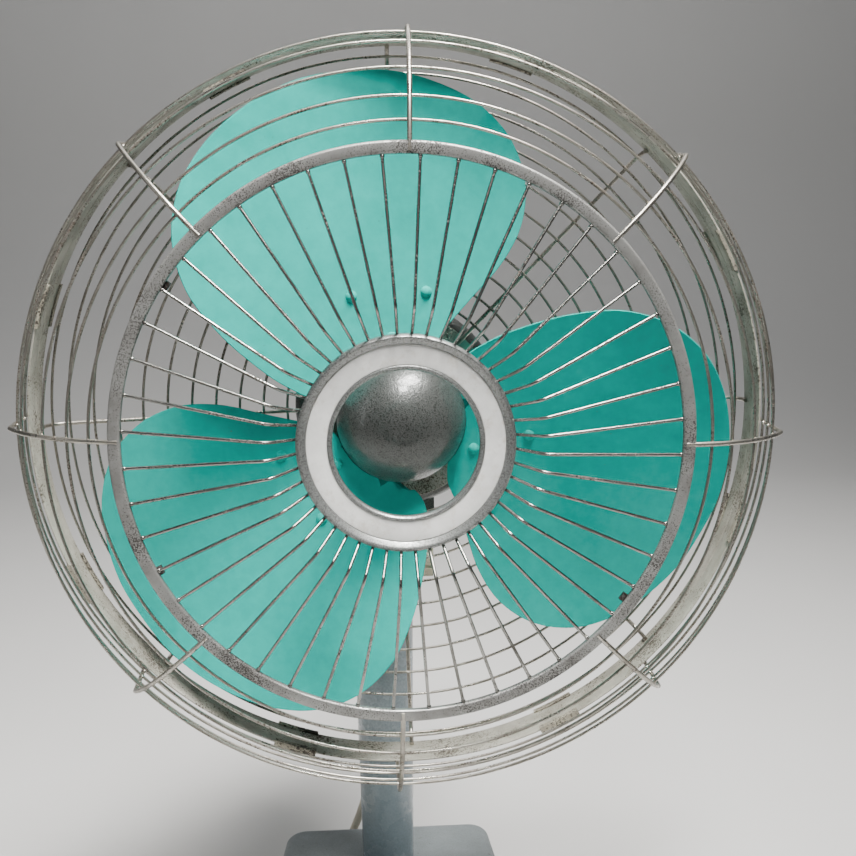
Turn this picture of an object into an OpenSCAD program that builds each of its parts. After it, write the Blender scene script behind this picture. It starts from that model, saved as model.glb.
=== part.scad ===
// Desk fan with three riveted sheet-metal blades in a two-part wire guard.
// Millimetres, +Z up, the fan blows towards -Y. The origin is the middle of the
// fan's own box, on the table. Depths run from the badge face to the rear.

/* [Stance] */
// Height of the fan shaft above the table
axis_height = 365; // [350:1:400]
// Sideways offset of the column from the fan shaft
column_x = -12; // [-16:1:-10]
// Depth of the column axis behind the badge face
column_depth = 172; // [170:1:176]

/* [Base] */
// Height of the base's flat top above the table
base_top = 43; // [40:1:48]
// Half width of the base top at the rear
base_rear_half = 73; // [68:1:80]
// Half width of the base top at the front
base_front_half = 86; // [82:1:95]
// Thickness of the pressed shell
shell_wall = 3; // [2:0.5:3]
// Number of push-buttons
button_count = 4; // [4:1:4]
// How far a button travels
button_travel = 5; // [3:0.5:5]

/* [Column] */
// Outer radius of the column at its foot
column_foot_r = 17.5; // [17:0.5:18]
// Outer radius of the column at its top
column_top_r = 20; // [19.5:0.5:20.5]

/* [Motor] */
// Outer radius of the motor housing
motor_r = 64; // [64:1:66]
// Radius of the motor shaft
shaft_r = 4; // [4:0.5:4]

/* [Blades] */
// Number of blades
blade_count = 3; // [3:1:3]
// Angle of the first blade past the top, seen from the front
blade_phase = -3; // [-60:1:60]
// Pitch of a blade
blade_pitch = 12.4; // [8:0.1:14]
// Radius that the sheet is rolled to
blade_camber_r = 420; // [380:10:600]
// Thickness of the blade sheet
blade_sheet = 1.2; // [1:0.1:1.5]
// Radius of the spun hub dome
dome_r = 37; // [35:0.5:38]

/* [Guard] */
// Outer radius of the badge ring
badge_r = 54; // [52:0.5:55]
// Number of spokes between the badge ring and the flat ring
spoke_count = 48; // [40:4:56]
// Outer radius of the flat ring
flat_ring_r = 144.6; // [143:0.1:146]
// Width of the flat ring
flat_ring_w = 6.4; // [5:0.2:7]
// Outer radius of the hoops that join the guard halves
hoop_r = 208.2; // [207:0.1:209]
// Number of ribs in each half of the guard
rib_count = 8; // [8:1:8]
// Radius of the thin guard wires
wire_r = 0.8; // [0.7:0.05:1]
// How far the front ribs sit round from the top
front_rib_turn = 1.6; // [-2:0.1:2]
// How far the rear ribs sit round from the top
rear_rib_turn = -1; // [-2:0.1:2]
// Radius of the rib wires
rib_r = 1.25; // [1.1:0.05:1.5]

/* [Cord] */
// Diameter of the mains lead
cord_d = 6; // [5:0.5:6]

/* [Hidden] */
$fn = 96;

// Colours
teal = [0.30, 0.77, 0.70];
hammertone = [0.30, 0.31, 0.31];
blue_grey = [0.36, 0.42, 0.47];
base_grey = [0.40, 0.43, 0.43];
steel = [0.68, 0.67, 0.63];
bright_wire = [0.75, 0.74, 0.70];
corroded = [0.45, 0.44, 0.43];
ivory = [0.88, 0.86, 0.76];
dark = [0.12, 0.12, 0.12];
copper = [0.70, 0.40, 0.22];
bronze = [0.66, 0.50, 0.28];
iron = [0.25, 0.25, 0.26];

// Depths along the shaft, from the badge face
mid_depth = 132.9;
dome_rim = 88;
dome_front = 54;
shaft_front = 68;
boss_front = 88.6;
boss_rear = 111;
nose_front = 113;
flange_depth = 141;
seam_depth = 190;
rear_end = 276;
kink_depth = -10;

// Places of the uprights, in world Y
column_y = column_depth - mid_depth;
base_front_y = -mid_depth;
base_rear_y = 215 - mid_depth;

// Tilt joint and swivel heights
tilt_z = 262;
yoke_top = 278;
bracket_bottom = 279;
post_top = 298;
link_z = 286.5;
link_t = 4;
link_pin_x = -40;

// Oscillation gears, measured from the shaft
worm_r = 5;
worm_depth = 226;
worm_len = 12;
wheel_r = 10;
wheel_x = worm_r + wheel_r + 0.2;
wheel_depth = 232;
pinion_r = 5.4;
crank_gear_r = 22;
crank_depth = 236;
crank_throw = 11;
run = 0.05;

// Puts children on the fan shaft, local Z being the depth behind the badge face
module on_axis() {
  translate([0, -mid_depth, axis_height]) rotate([-90, 0, 0]) children();
}

// Turns local +X to a clock angle seen from the front; 0 is the top
module clock(angle) {
  rotate([0, 0, angle - 90]) children();
}

module tube(outer, inner, height) {
  difference() {
    cylinder(r = outer, h = height);
    translate([0, 0, -1]) cylinder(r = inner, h = height + 2);
  }
}

// A round wire ring on the shaft
module wire_ring(radius, depth, thick) {
  translate([0, 0, depth]) rotate_extrude() translate([radius, 0]) circle(r = thick, $fn = 24);
}

// A flat hoop on the shaft
module hoop(outer, wall, depth, width) {
  translate([0, 0, depth]) tube(outer, outer - wall, width);
}

// A bent wire in the XY plane: each step is [straight length, bend radius, turn].
// A bead a hair thicker than the wire closes each joint between two steps, unless
// welded is false: then the steps only meet, a hair apart.
wire_gap = 0.05;
module bead(thick, welded) {
  if (welded) sphere(r = thick + 0.06, $fn = 24);
}
module bent_wire(steps, thick, welded, i = 0) {
  if (i < len(steps)) {
    length = steps[i][0];
    bend = steps[i][1];
    turn = steps[i][2];
    side = turn < 0 ? -1 : 1;
    start = i > 0 ? wire_gap : 0;
    if (i > 0) bead(thick, welded);
    if (length > 0) translate([start, 0, 0]) rotate([0, 90, 0])
      cylinder(r = thick, h = length - start, $fn = 24);
    if (length > 0 && turn != 0) translate([length, 0, 0]) bead(thick, welded);
    translate([length, 0, 0]) {
      if (turn != 0) {
        skip = length > 0 || i > 0 ? wire_gap / bend * 180 / PI : 0;
        translate([0, side * bend, 0])
          rotate([0, 0, turn < 0 ? 90 + turn : -90 + skip])
            rotate_extrude(angle = side * turn - skip) translate([bend, 0])
              circle(r = thick, $fn = 24);
      }
      translate([bend * sin(side * turn), side * bend * (1 - cos(turn)), 0])
        rotate([0, 0, turn]) bent_wire(steps, thick, welded, i + 1);
    }
  }
}

// The same wire in the plane of radius and depth, starting at [radius, depth]
module radial_wire(start, heading, steps, thick, welded = true) {
  translate([start[0], 0, start[1]]) rotate([90, 0, 0]) rotate([0, 0, heading])
    bent_wire(steps, thick, welded);
}

// Closed Catmull-Rom curve through a ring of points
function spline_point(a, b, c, d, t) =
  0.5 * (2 * b + (c - a) * t + (2 * a - 5 * b + 4 * c - d) * t * t
  + (3 * b - a - 3 * c + d) * t * t * t);
function closed_curve(p, per) = [
  for (i = [0 : len(p) - 1]) for (k = [0 : per - 1])
    spline_point(p[(i + len(p) - 1) % len(p)], p[i], p[(i + 1) % len(p)],
                 p[(i + 2) % len(p)], k / per)
];

// ---------------------------------------------------------------- base

// Corners of the base plan: [x, y], inset by the corner radius
base_corner_r = 14;
base_corners = [
  [column_x - base_rear_half + base_corner_r, base_rear_y - base_corner_r],
  [column_x + base_rear_half - base_corner_r, base_rear_y - base_corner_r],
  [column_x + base_front_half - base_corner_r, base_front_y + base_corner_r],
  [column_x - base_front_half + base_corner_r, base_front_y + base_corner_r]
];
base_edge_r = 6;
base_flare = 5;
shell_bottom = 4;

// The rounded block that the base shell is pressed to, pulled in by inset
module base_form(inset, top, bottom) {
  hull() {
    for (c = base_corners) translate([c[0], c[1], 0]) {
      for (a = [0, 30, 60, 90])
        translate([0, 0, top - base_edge_r - 0.5 + (base_edge_r - inset) * sin(a)])
          cylinder(r = base_corner_r - base_edge_r + (base_edge_r - inset) * cos(a),
                   h = 0.5, $fn = 32);
      translate([0, 0, bottom])
        cylinder(r = base_corner_r + base_flare - inset, h = 1, $fn = 32);
    }
  }
}

foot_places = [
  for (c = base_corners) [c[0] + (c[0] < column_x ? 4 : -4), c[1]]
];

button_pitch = 26;
button_w = 19.4;
button_l = 13.4;
button_y = -104;
bezel_w = 112;
bezel_l = 26;
bezel_t = 2;

function button_x(i) = column_x + (i - (button_count - 1) / 2) * button_pitch;

module base_shell() {
  color(base_grey) difference() {
    union() {
      difference() {
        base_form(0, base_top, shell_bottom);
        base_form(shell_wall, base_top, shell_bottom - 2);
      }
      for (p = foot_places) translate([p[0], p[1], 6])
        cylinder(r = 5, h = base_top - shell_wall - 5.5);
    }
    for (p = foot_places) translate([p[0], p[1], 0]) cylinder(r = 2, h = 16);
    translate([column_x, column_y, base_top - 6]) cylinder(r = 15.3, h = 10);
    translate([column_x - 51, button_y - 8, base_top - 6]) cube([102, 16, 10]);
  }
}

module base_plate() {
  color(iron) difference() {
    hull() for (c = base_corners) translate([c[0], c[1], shell_bottom])
      cylinder(r = base_corner_r + base_flare - shell_wall - 0.6, h = 1.5, $fn = 48);
    for (p = foot_places) translate([p[0], p[1], 0]) cylinder(r = 2.3, h = 10);
  }
}

module base_feet() {
  color(dark) for (p = foot_places) translate([p[0], p[1], 0]) difference() {
    union() {
      cylinder(r1 = 9, r2 = 10, h = 2);
      translate([0, 0, 2]) cylinder(r = 10, h = 2);
    }
    translate([0, 0, 1.5]) cylinder(r = 4.2, h = 10);
    translate([0, 0, -1]) cylinder(r = 2.6, h = 10);
  }
}

module base_screws() {
  color(steel) for (p = foot_places) translate([p[0], p[1], 0]) {
    translate([0, 0, 2]) cylinder(r = 3.8, h = 2);
    translate([0, 0, 3.9]) cylinder(r = 1.95, h = 10);
  }
}

module ballast() {
  color(iron) translate([0, 0, 5.6]) difference() {
    hull() for (x = [-44, 44]) for (y = [-70, 52])
      translate([column_x + x, y, 0]) cylinder(r = 8, h = 15, $fn = 32);
    for (y = [-40, 40]) translate([column_x, y, -1]) cylinder(r = 5, h = 20);
  }
}

module switch_block() {
  color(dark) translate([column_x - 49, button_y - 12, 22]) difference() {
    cube([98, 24, 12]);
    for (i = [0 : button_count - 1])
      translate([button_x(i) - column_x + 49 - 3.4, 12 - 2.4, -1]) cube([6.8, 4.8, 20]);
  }
}

module button_bezel() {
  color(steel) translate([column_x, button_y, base_top]) difference() {
    union() {
      translate([-bezel_w / 2 + bezel_l / 2, -bezel_l / 2, 0])
        cube([bezel_w - bezel_l, bezel_l, bezel_t]);
      for (x = [-1, 1]) translate([x * (bezel_w - bezel_l) / 2, 0, 0])
        cylinder(r = bezel_l / 2, h = bezel_t);
    }
    for (i = [0 : button_count - 1])
      translate([button_x(i) - column_x - 10, -7, -1]) cube([20, 14, 5]);
  }
}

module push_button(i, tint) {
  color(tint) translate([button_x(i), button_y, 0]) {
    translate([-button_w / 2, -button_l / 2, 40]) cube([button_w, button_l, 9]);
    translate([0, -button_l / 2, 49]) rotate([-90, 0, 0]) linear_extrude(button_l)
      polygon([[-9.7, 0.1], [9.7, 0.1], [9.7, -1.6], [8.6, -2.8], [5, -3.2], [0, -3],
               [-5, -3.2], [-8.6, -2.8], [-9.7, -1.6]]);
    translate([-3, -2, 28]) cube([6, 4, 12.5]);
  }
}

module button_off() push_button(0, [0.62, 0.16, 0.13]);
module button_low() push_button(1, ivory);
module button_medium() push_button(2, ivory);
module button_high() push_button(3, ivory);

// ---------------------------------------------------------------- column and neck

module column_foot() {
  color(iron) translate([column_x, column_y, 0]) difference() {
    union() {
      translate([0, 0, base_top - shell_wall - 4]) cylinder(r = 30, h = 4);
      translate([0, 0, base_top - shell_wall - 0.1]) cylinder(r = 15.2, h = 30);
    }
    cylinder(r = 12, h = 100);
  }
}

socket_z = 232;
gland_z = 98;
gland_turn = 20;

module column() {
  color(blue_grey) translate([column_x, column_y, base_top]) difference() {
    cylinder(r1 = column_foot_r, r2 = column_top_r, h = socket_z - base_top);
    translate([0, 0, -0.01])
      cylinder(r1 = column_foot_r - 1.6, r2 = column_top_r - 1.6,
               h = socket_z - base_top + 0.02);
    translate([0, 0, gland_z - base_top]) rotate([0, 0, gland_turn]) rotate([-90, 0, 0])
      cylinder(r = 4, h = 40);
  }
}

ear_r = 11.5;
ear_in = 8.2;
ear_out = 15.5;

module neck_socket() {
  color(blue_grey) translate([column_x, column_y, 0]) difference() {
    union() {
      translate([0, 0, socket_z - 22]) cylinder(r = column_top_r - 2.2, h = 22.5);
      translate([0, 0, socket_z]) cylinder(r1 = column_top_r, r2 = 17, h = 12);
      for (s = [-1, 1]) translate([s > 0 ? ear_in : -ear_out, 0, 0]) {
        translate([0, -ear_r, socket_z + 8])
          cube([ear_out - ear_in, 2 * ear_r, tilt_z - socket_z - 8]);
        translate([0, 0, tilt_z]) rotate([0, 90, 0]) cylinder(r = ear_r, h = ear_out - ear_in);
      }
    }
    translate([-30, 0, tilt_z]) rotate([0, 90, 0]) cylinder(r = 4 + run, h = 60);
    translate([0, 0, socket_z - 30]) cylinder(r = 10, h = 36);
  }
}

module tilt_pin() {
  color(steel) translate([column_x, column_y, tilt_z]) rotate([0, 90, 0]) {
    translate([0, 0, -ear_out - 5]) cylinder(r = 7, h = 4.9);
    translate([0, 0, -ear_out - 1]) cylinder(r = 4, h = 2 * ear_out + 13);
  }
}

module tilt_knob() {
  color(ivory) translate([column_x + ear_out + 0.4, column_y, tilt_z]) rotate([0, 90, 0])
    difference() {
      union() {
        cylinder(r = 9, h = 5);
        translate([0, 0, 4.9]) cylinder(r = 16, h = 12.6);
      }
      translate([0, 0, -1]) cylinder(r = 4 + run, h = 13.5);
      for (a = [0 : 36 : 324]) rotate([0, 0, a]) translate([17.6, 0, 3])
        cylinder(r = 3, h = 20, $fn = 32);
    }
}

module tilt_yoke() {
  color(blue_grey) translate([column_x, column_y, 0]) difference() {
    union() {
      translate([-8, 0, tilt_z]) rotate([0, 90, 0]) cylinder(r = 11.5, h = 16);
      translate([-8, -9, tilt_z]) cube([16, 18, yoke_top - tilt_z - 1]);
      translate([0, 0, tilt_z + 12.3]) cylinder(r = 14, h = yoke_top - tilt_z - 12.3);
      translate([link_pin_x - column_x, -6, tilt_z + 12.3])
        cube([column_x - link_pin_x, 12, yoke_top - tilt_z - 12.3]);
      translate([link_pin_x - column_x, 0, tilt_z + 12.3])
        cylinder(r = 6, h = yoke_top - tilt_z - 12.3);
      translate([link_pin_x - column_x, 0, yoke_top - 1]) cylinder(r = 4.5, h = 9.2);
      translate([link_pin_x - column_x, 0, yoke_top]) cylinder(r = 2.5, h = 13.2);
    }
    translate([-30, 0, tilt_z]) rotate([0, 90, 0]) cylinder(r = 4 + run, h = 60);
    translate([0, 0, tilt_z + 6]) cylinder(r = 6, h = 40);
  }
}

module pivot_post() {
  color(steel) translate([column_x, column_y, 0]) {
    translate([0, 0, tilt_z + 6.2]) cylinder(r = 6, h = yoke_top - tilt_z);
    translate([0, 0, yoke_top + 0.05]) cylinder(r = 8, h = post_top - yoke_top);
  }
}

module thrust_washer() {
  color(bronze) translate([column_x, column_y, yoke_top + 0.1]) tube(13.5, 8.3, 0.8);
}

// Seen from above the link runs from the yoke's pin to the crank pin, which it
// passes under: that pivot of the closed linkage is open.
module oscillation_link() {
  far = [column_x, crank_depth + crank_throw - mid_depth];
  near = [link_pin_x, column_y];
  span = norm(far - near);
  color(steel) translate([near[0], near[1], link_z])
    rotate([0, 0, atan2(far[1] - near[1], far[0] - near[0])]) difference() {
      union() {
        cylinder(r = 6, h = link_t);
        translate([span, 0, 0]) cylinder(r = 6, h = link_t);
        translate([0, -4, 0]) cube([span, 8, link_t]);
      }
      translate([0, 0, -1]) cylinder(r = 2.5 + run, h = 10);
      translate([span, 0, -1]) cylinder(r = 2.4, h = 10);
    }
}

// ---------------------------------------------------------------- motor

module swivel_bracket() {
  color(hammertone) difference() {
    translate([column_x, column_y, 0]) union() {
      translate([0, 0, bracket_bottom]) cylinder(r = 14, h = 34);
      translate([-22, -20, 292]) cube([56, 50, 18]);
    }
    translate([0, -mid_depth, axis_height]) rotate([-90, 0, 0])
      cylinder(r = motor_r + 0.02, h = 400);
    translate([column_x, column_y, bracket_bottom - 1])
      cylinder(r = 8 + run, h = post_top - bracket_bottom + 2);
  }
}

module motor_front_shell() {
  color(hammertone) on_axis() difference() {
    rotate_extrude() difference() {
      union() {
        polygon([[0, nose_front], [26, nose_front + 3], [38, nose_front + 13],
                 [38, flange_depth], [motor_r - 8, flange_depth], [motor_r, flange_depth + 8],
                 [motor_r, seam_depth], [0, seam_depth]]);
        translate([motor_r - 8, flange_depth + 8]) circle(r = 8);
      }
      polygon([[13, nose_front + 4], [25, nose_front + 6.5], [35, nose_front + 15],
               [35, flange_depth + 3], [motor_r - 8, flange_depth + 3],
               [motor_r - 3, flange_depth + 8], [motor_r - 3, seam_depth + 1],
               [13, seam_depth + 1]]);
      translate([-1, nose_front + 20]) square([15, 100]);
    }
    translate([0, 0, nose_front - 1]) cylinder(r = 9, h = 30);
    for (a = [22.5 : 90 : 315]) clock(a) translate([50, 0, flange_depth - 1])
      cylinder(r = 2, h = 8);
  }
}

module motor_rear_cover() {
  color(hammertone) difference() {
    on_axis() difference() {
      rotate_extrude() difference() {
        union() {
          polygon([[0, seam_depth + 0.1], [motor_r, seam_depth + 0.1], [motor_r, 226],
                   [motor_r - 3, 238], [motor_r - 11, 254], [motor_r - 22, rear_end - 8],
                   [motor_r - 30, rear_end - 2], [motor_r - 38, rear_end], [0, rear_end]]);
        }
        polygon([[0, seam_depth - 1], [motor_r - 3, seam_depth - 1], [motor_r - 3, 225.5],
                 [motor_r - 6, 237], [motor_r - 13.5, 252], [motor_r - 24, rear_end - 10.5],
                 [motor_r - 31, rear_end - 5], [motor_r - 38.5, rear_end - 3],
                 [0, rear_end - 3]]);
      }
      for (a = [0 : 30 : 330]) clock(a) translate([12, -1.5, rear_end - 5])
        cube([12, 3, 10]);
    }
    translate([column_x, crank_depth - mid_depth, axis_height - 80]) cylinder(r = 6, h = 40);
    translate([wheel_x, wheel_depth - mid_depth, axis_height + 40]) cylinder(r = 3, h = 40);
  }
}

module stator_core() {
  color(iron) on_axis() translate([0, 0, 153]) difference() {
    cylinder(r = motor_r - 3.05, h = 44);
    translate([0, 0, -1]) cylinder(r = 37.2, h = 46);
    for (a = [0 : 22.5 : 337.5]) rotate([0, 0, a]) translate([45, 0, -1])
      cylinder(r = 3.5, h = 46, $fn = 32);
  }
}

module stator_windings() {
  color(copper) on_axis() for (d = [146, 197.05]) translate([0, 0, d]) rotate_extrude() {
    translate([40, 0]) square([16, 6.9]);
  }
}

module front_bearing() {
  color(bronze) on_axis() translate([0, 0, nose_front + 0.5]) tube(8.98, shaft_r + run, 18);
}

module rear_bearing() {
  color(bronze) on_axis() translate([0, 0, 206.5]) tube(8.98, shaft_r + run, 12);
}

module rear_bearing_bracket() {
  color(iron) on_axis() translate([0, 0, 207]) difference() {
    union() {
      cylinder(r = motor_r - 3.05, h = 3);
      cylinder(r = 13, h = 11);
    }
    translate([0, 0, -1]) cylinder(r = 9, h = 20);
    for (a = [0 : 60 : 300]) clock(a) translate([36, 0, -1]) cylinder(r = 8, h = 10);
  }
}

gear_floor = axis_height - 34;
gear_roof = axis_height - 16;

module gear_case() {
  color(iron) translate([0, -mid_depth, 0]) difference() {
    union() {
      translate([column_x, crank_depth, gear_floor]) cylinder(r = 24.6, h = 18);
      translate([wheel_x, wheel_depth, gear_floor]) cylinder(r = 9, h = 18);
      translate([column_x - 10, 210.05, gear_floor]) cube([30, 12, 18]);
    }
    translate([column_x, crank_depth, gear_floor + 2.5]) cylinder(r = 22.6, h = 20);
    translate([wheel_x, wheel_depth, gear_floor + 2.5]) cylinder(r = 6.4, h = 20);
    translate([column_x, crank_depth, gear_floor - 1]) cylinder(r = 3 + run, h = 10);
    translate([wheel_x, wheel_depth, gear_floor - 1]) cylinder(r = 2.5 + run, h = 10);
  }
}

module gear_case_lid() {
  color(iron) translate([0, -mid_depth, gear_roof + 0.05]) difference() {
    union() {
      translate([column_x, crank_depth, 0]) cylinder(r = 24.6, h = 2);
      translate([wheel_x, wheel_depth, 0]) cylinder(r = 9, h = 2);
    }
    translate([column_x, crank_depth, -1]) cylinder(r = 3 + run, h = 10);
    translate([wheel_x, wheel_depth, -1]) cylinder(r = 2.5 + run, h = 10);
  }
}

// A toothed disc: the outline steps between the root and the tip radius
module toothed(radius, depth, teeth, height) {
  linear_extrude(height) polygon([
    for (i = [0 : teeth - 1]) for (k = [[0, 0], [0.15, 1], [0.4, 1], [0.55, 0]])
      (radius - depth + k[1] * depth)
      * [cos((i + k[0]) * 360 / teeth), sin((i + k[0]) * 360 / teeth)]
  ]);
}

module worm_wheel() {
  color(bronze) translate([wheel_x, wheel_depth - mid_depth, axis_height]) {
    translate([0, 0, -3]) toothed(wheel_r, 1, 30, 6);
    translate([0, 0, -35.5]) cylinder(r = 2.5, h = 41);
    translate([0, 0, -30]) toothed(pinion_r, 0.8, 12, 6);
  }
}

module crank_gear() {
  color(steel) translate([column_x, crank_depth - mid_depth, axis_height]) {
    translate([0, 0, -29]) toothed(crank_gear_r, 0.8, 48, 4);
    translate([0, 0, -70]) cylinder(r = 3, h = 55);
    translate([0, 0, -70]) cylinder(r = 15, h = 4);
    translate([0, crank_throw, -74]) cylinder(r = 2.2, h = 5);
  }
}

module oscillation_knob() {
  color(dark) translate([wheel_x, wheel_depth - mid_depth, axis_height]) {
    translate([0, 0, 9]) cylinder(r = 2.7, h = 60);
    translate([0, 0, 67]) cylinder(r1 = 6, r2 = 8.5, h = 8);
    translate([0, 0, 75]) cylinder(r = 9.5, h = 6);
    translate([0, 0, 81]) rotate_extrude() intersection() {
      translate([0, -16]) circle(r = 18.6);
      square([9.5, 6]);
    }
  }
}

// ---------------------------------------------------------------- rotor

module motor_shaft() {
  color(steel) on_axis() {
    translate([0, 0, shaft_front]) cylinder(r = shaft_r, h = worm_depth - shaft_front + 1);
    translate([0, 0, worm_depth]) difference() {
      cylinder(r = worm_r, h = worm_len);
      for (z = [1.5 : 3 : worm_len]) translate([0, 0, z]) rotate_extrude()
        translate([worm_r, 0]) circle(r = 0.8, $fn = 24);
    }
  }
}

module rotor_core() {
  color(iron) on_axis() {
    translate([0, 0, 153]) tube(36.5, shaft_r, 44);
    for (d = [149, 196.9]) translate([0, 0, d]) tube(35, 24, 4.1);
  }
}

// Blade outline: x runs outwards along the blade's middle line, y clockwise
blade_points = [
  [193.5, -12], [193, 12], [186.5, 35], [174.5, 57], [155, 74], [130, 81.5],
  [105, 78], [84, 65.5], [66, 47.5], [52, 33.5], [42, 24], [34, 6], [24, -18],
  [16, -42], [24, -61], [39, -79.5], [57, -96.5], [79, -110.5], [105, -115.5],
  [131, -110], [153, -96], [170, -77.5], [182.5, -57], [190.5, -35]
];
blade_root_r = 40;
blade_base_depth = 78;
blade_lean = 3.4;
blade_sag = 11.2;
blade_mid_y = -16;
rivet_places = [[71, -21], [71, 22], [46.5, 0.5]];
rivet_shank_r = 1.6;
rivet_head_r = 3.6;

function blade_surface(y) =
  blade_sag - blade_camber_r + sqrt(pow(blade_camber_r, 2) - pow(y - blade_mid_y, 2));

// The tilted frame of one blade, X outwards and Y clockwise
module blade_frame(i) {
  on_axis() clock(blade_phase + i * 360 / blade_count)
    translate([0, 0, blade_base_depth]) rotate([0, -blade_lean, 0])
      rotate([blade_pitch, 0, 0]) children();
}

// A rolled sheet between two radii, over the whole blade
module rolled_sheet(inner, outer) {
  translate([0, blade_mid_y, blade_sag - blade_camber_r]) rotate([0, 90, 0]) difference() {
    cylinder(r = blade_camber_r + outer, h = 230, $fn = 360);
    translate([0, 0, -1]) cylinder(r = blade_camber_r + inner, h = 232, $fn = 360);
  }
}

module rivet_holes() {
  for (p = rivet_places) translate([p[0], p[1], -10]) cylinder(r = rivet_shank_r, h = 40);
}

module blade(i) {
  color(teal) blade_frame(i) difference() {
    intersection() {
      rolled_sheet(0, blade_sheet);
      translate([0, 0, -40]) linear_extrude(80) polygon(closed_curve(blade_points, 5));
    }
    translate([0, 0, -40]) cylinder(r = blade_root_r, h = 80);
    rivet_holes();
  }
}

module blade_1() blade(0);
module blade_2() blade(1);
module blade_3() blade(2);

module blade_rivets() {
  color(teal) for (i = [0 : blade_count - 1]) blade_frame(i) for (p = rivet_places)
    translate([p[0], p[1], blade_surface(p[1])]) {
      difference() {
        sphere(r = rivet_head_r, $fn = 48);
        translate([0, 0, 5.3]) cube(10, center = true);
      }
      translate([0, 0, -1]) cylinder(r = rivet_shank_r - 0.02, h = 5.4);
      translate([0, 0, 4.15]) cylinder(r = 2.8, h = 1.2);
    }
}

module blade_spider() {
  color(steel) difference() {
    union() {
      on_axis() translate([0, 0, boss_front]) {
        cylinder(r = 27, h = 8);
        cylinder(r = 12, h = boss_rear - boss_front);
      }
      for (i = [0 : blade_count - 1]) blade_frame(i) difference() {
        intersection() {
          rolled_sheet(blade_sheet + 0.02, blade_sheet + 2.6);
          translate([0, 0, -40]) linear_extrude(80)
            polygon([[20, -14], [20, 14], [46, 14], [66, 30], [79, 30], [79, -29],
                     [66, -29], [46, -14]]);
        }
        rivet_holes();
      }
    }
    on_axis() translate([0, 0, boss_front - 1]) cylinder(r = shaft_r, h = 40);
    on_axis() translate([0, 0, 104]) clock(60) rotate([0, 90, 0])
      cylinder(r = 2, h = 40);
  }
}

module spider_set_screw() {
  color(steel) on_axis() translate([0, 0, 104]) clock(60) rotate([0, 90, 0])
    translate([0, 0, shaft_r]) difference() {
      cylinder(r = 1.98, h = 7);
      translate([0, 0, 5]) cylinder(r = 1, h = 4, $fn = 6);
    }
}

dome_sphere_r = (pow(dome_r, 2) + pow(dome_rim - dome_front, 2))
  / (2 * (dome_rim - dome_front));
dome_wall = 1.5;

module hub_dome() {
  color(hammertone) on_axis() {
    difference() {
      union() {
        intersection() {
          translate([0, 0, dome_front + dome_sphere_r]) sphere(r = dome_sphere_r);
          cylinder(r = 60, h = dome_rim);
        }
      }
      difference() {
        translate([0, 0, dome_front + dome_sphere_r]) sphere(r = dome_sphere_r - dome_wall);
        cylinder(r = 8, h = 200);
      }
      translate([0, 0, shaft_front - 1]) cylinder(r = shaft_r, h = 60);
    }
  }
}

// ---------------------------------------------------------------- rear guard

mount_r = 58;
rear_wire_radii = [for (r = [68 : 14 : 194]) r];
rear_rib_start = 46;
rear_rib_slope = -6.6;
rear_rib_run = 150.4;
rear_rib_bend = 12;

// Depth of the rear rib's middle at a radius
function rear_rib_depth(r) = flange_depth - rib_r - 2
  + (r - rear_rib_start) * tan(rear_rib_slope);

module rear_guard_mount() {
  color(steel) on_axis() translate([0, 0, flange_depth - 2.05]) difference() {
    cylinder(r = mount_r, h = 2);
    translate([0, 0, -1]) cylinder(r = 38.3, h = 5);
    for (a = [22.5 : 90 : 315]) clock(a) translate([50, 0, -1]) cylinder(r = 2.2, h = 5);
  }
}

module rear_guard_screws() {
  color(steel) on_axis() for (a = [22.5 : 90 : 315]) clock(a)
    translate([50, 0, flange_depth - 4.1]) {
      difference() {
        cylinder(r = 4, h = 2);
        translate([-5, -0.5, -1]) cube([10, 1, 1.8]);
      }
      translate([0, 0, 1.9]) cylinder(r = 1.98, h = 6.5);
    }
}

module rear_guard_ribs() {
  color(steel) on_axis() for (a = [0 : 360 / rib_count : 359]) clock(a + rear_rib_turn)
    radial_wire([rear_rib_start, rear_rib_depth(rear_rib_start)], rear_rib_slope,
                [[rear_rib_run, rear_rib_bend, -90 - rear_rib_slope], [3, 0, 0]], rib_r);
}

module rear_guard_wires() {
  color(steel) on_axis() {
    for (r = rear_wire_radii)
      wire_ring(r, rear_rib_depth(r) - rib_r - wire_r + 0.15, wire_r);
    wire_ring(202, 112.4, wire_r);
  }
}

hoop_wall = 1.2;
front_hoop_depth = 87;
hoop_width = 12;
rear_hoop_depth = front_hoop_depth + hoop_width + 0.3;

module rear_hoop() {
  color(ivory) on_axis() hoop(hoop_r, hoop_wall, rear_hoop_depth, hoop_width);
}

// ---------------------------------------------------------------- front guard

module front_hoop() {
  color(ivory) on_axis() hoop(hoop_r, hoop_wall, front_hoop_depth, hoop_width);
}

rib_start = [139.5, 4.5];
rib_head = 4;
rib_arc = 80;
rib_knee = 60;
rib_side = 82;
rib_knee_r = 6;

// The rib's middle at heading h on its long front arc
function rib_point(h) = rib_start
  + rib_arc * [sin(h) - sin(rib_head), cos(rib_head) - cos(h)];
// The wire that touches the rib from inside at heading h
function wire_under(h) = rib_point(h)
  + (rib_r + wire_r - 0.15) * [-sin(h), cos(h)];
knee_end = rib_point(rib_knee)
  + rib_knee_r * [sin(rib_side) - sin(rib_knee), cos(rib_knee) - cos(rib_side)];
side_length = (front_hoop_depth + 6 - knee_end[1]) / sin(rib_side);
// The wire that touches the rib's side at a distance past the knee
function side_wire(along) = knee_end + along * [cos(rib_side), sin(rib_side)]
  + (rib_r + wire_r - 0.15) * [-sin(rib_side), cos(rib_side)];

front_wire_headings = [15, 24, 36, 51];
side_wire_places = [10.3, 21.4, 32.5];

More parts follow.
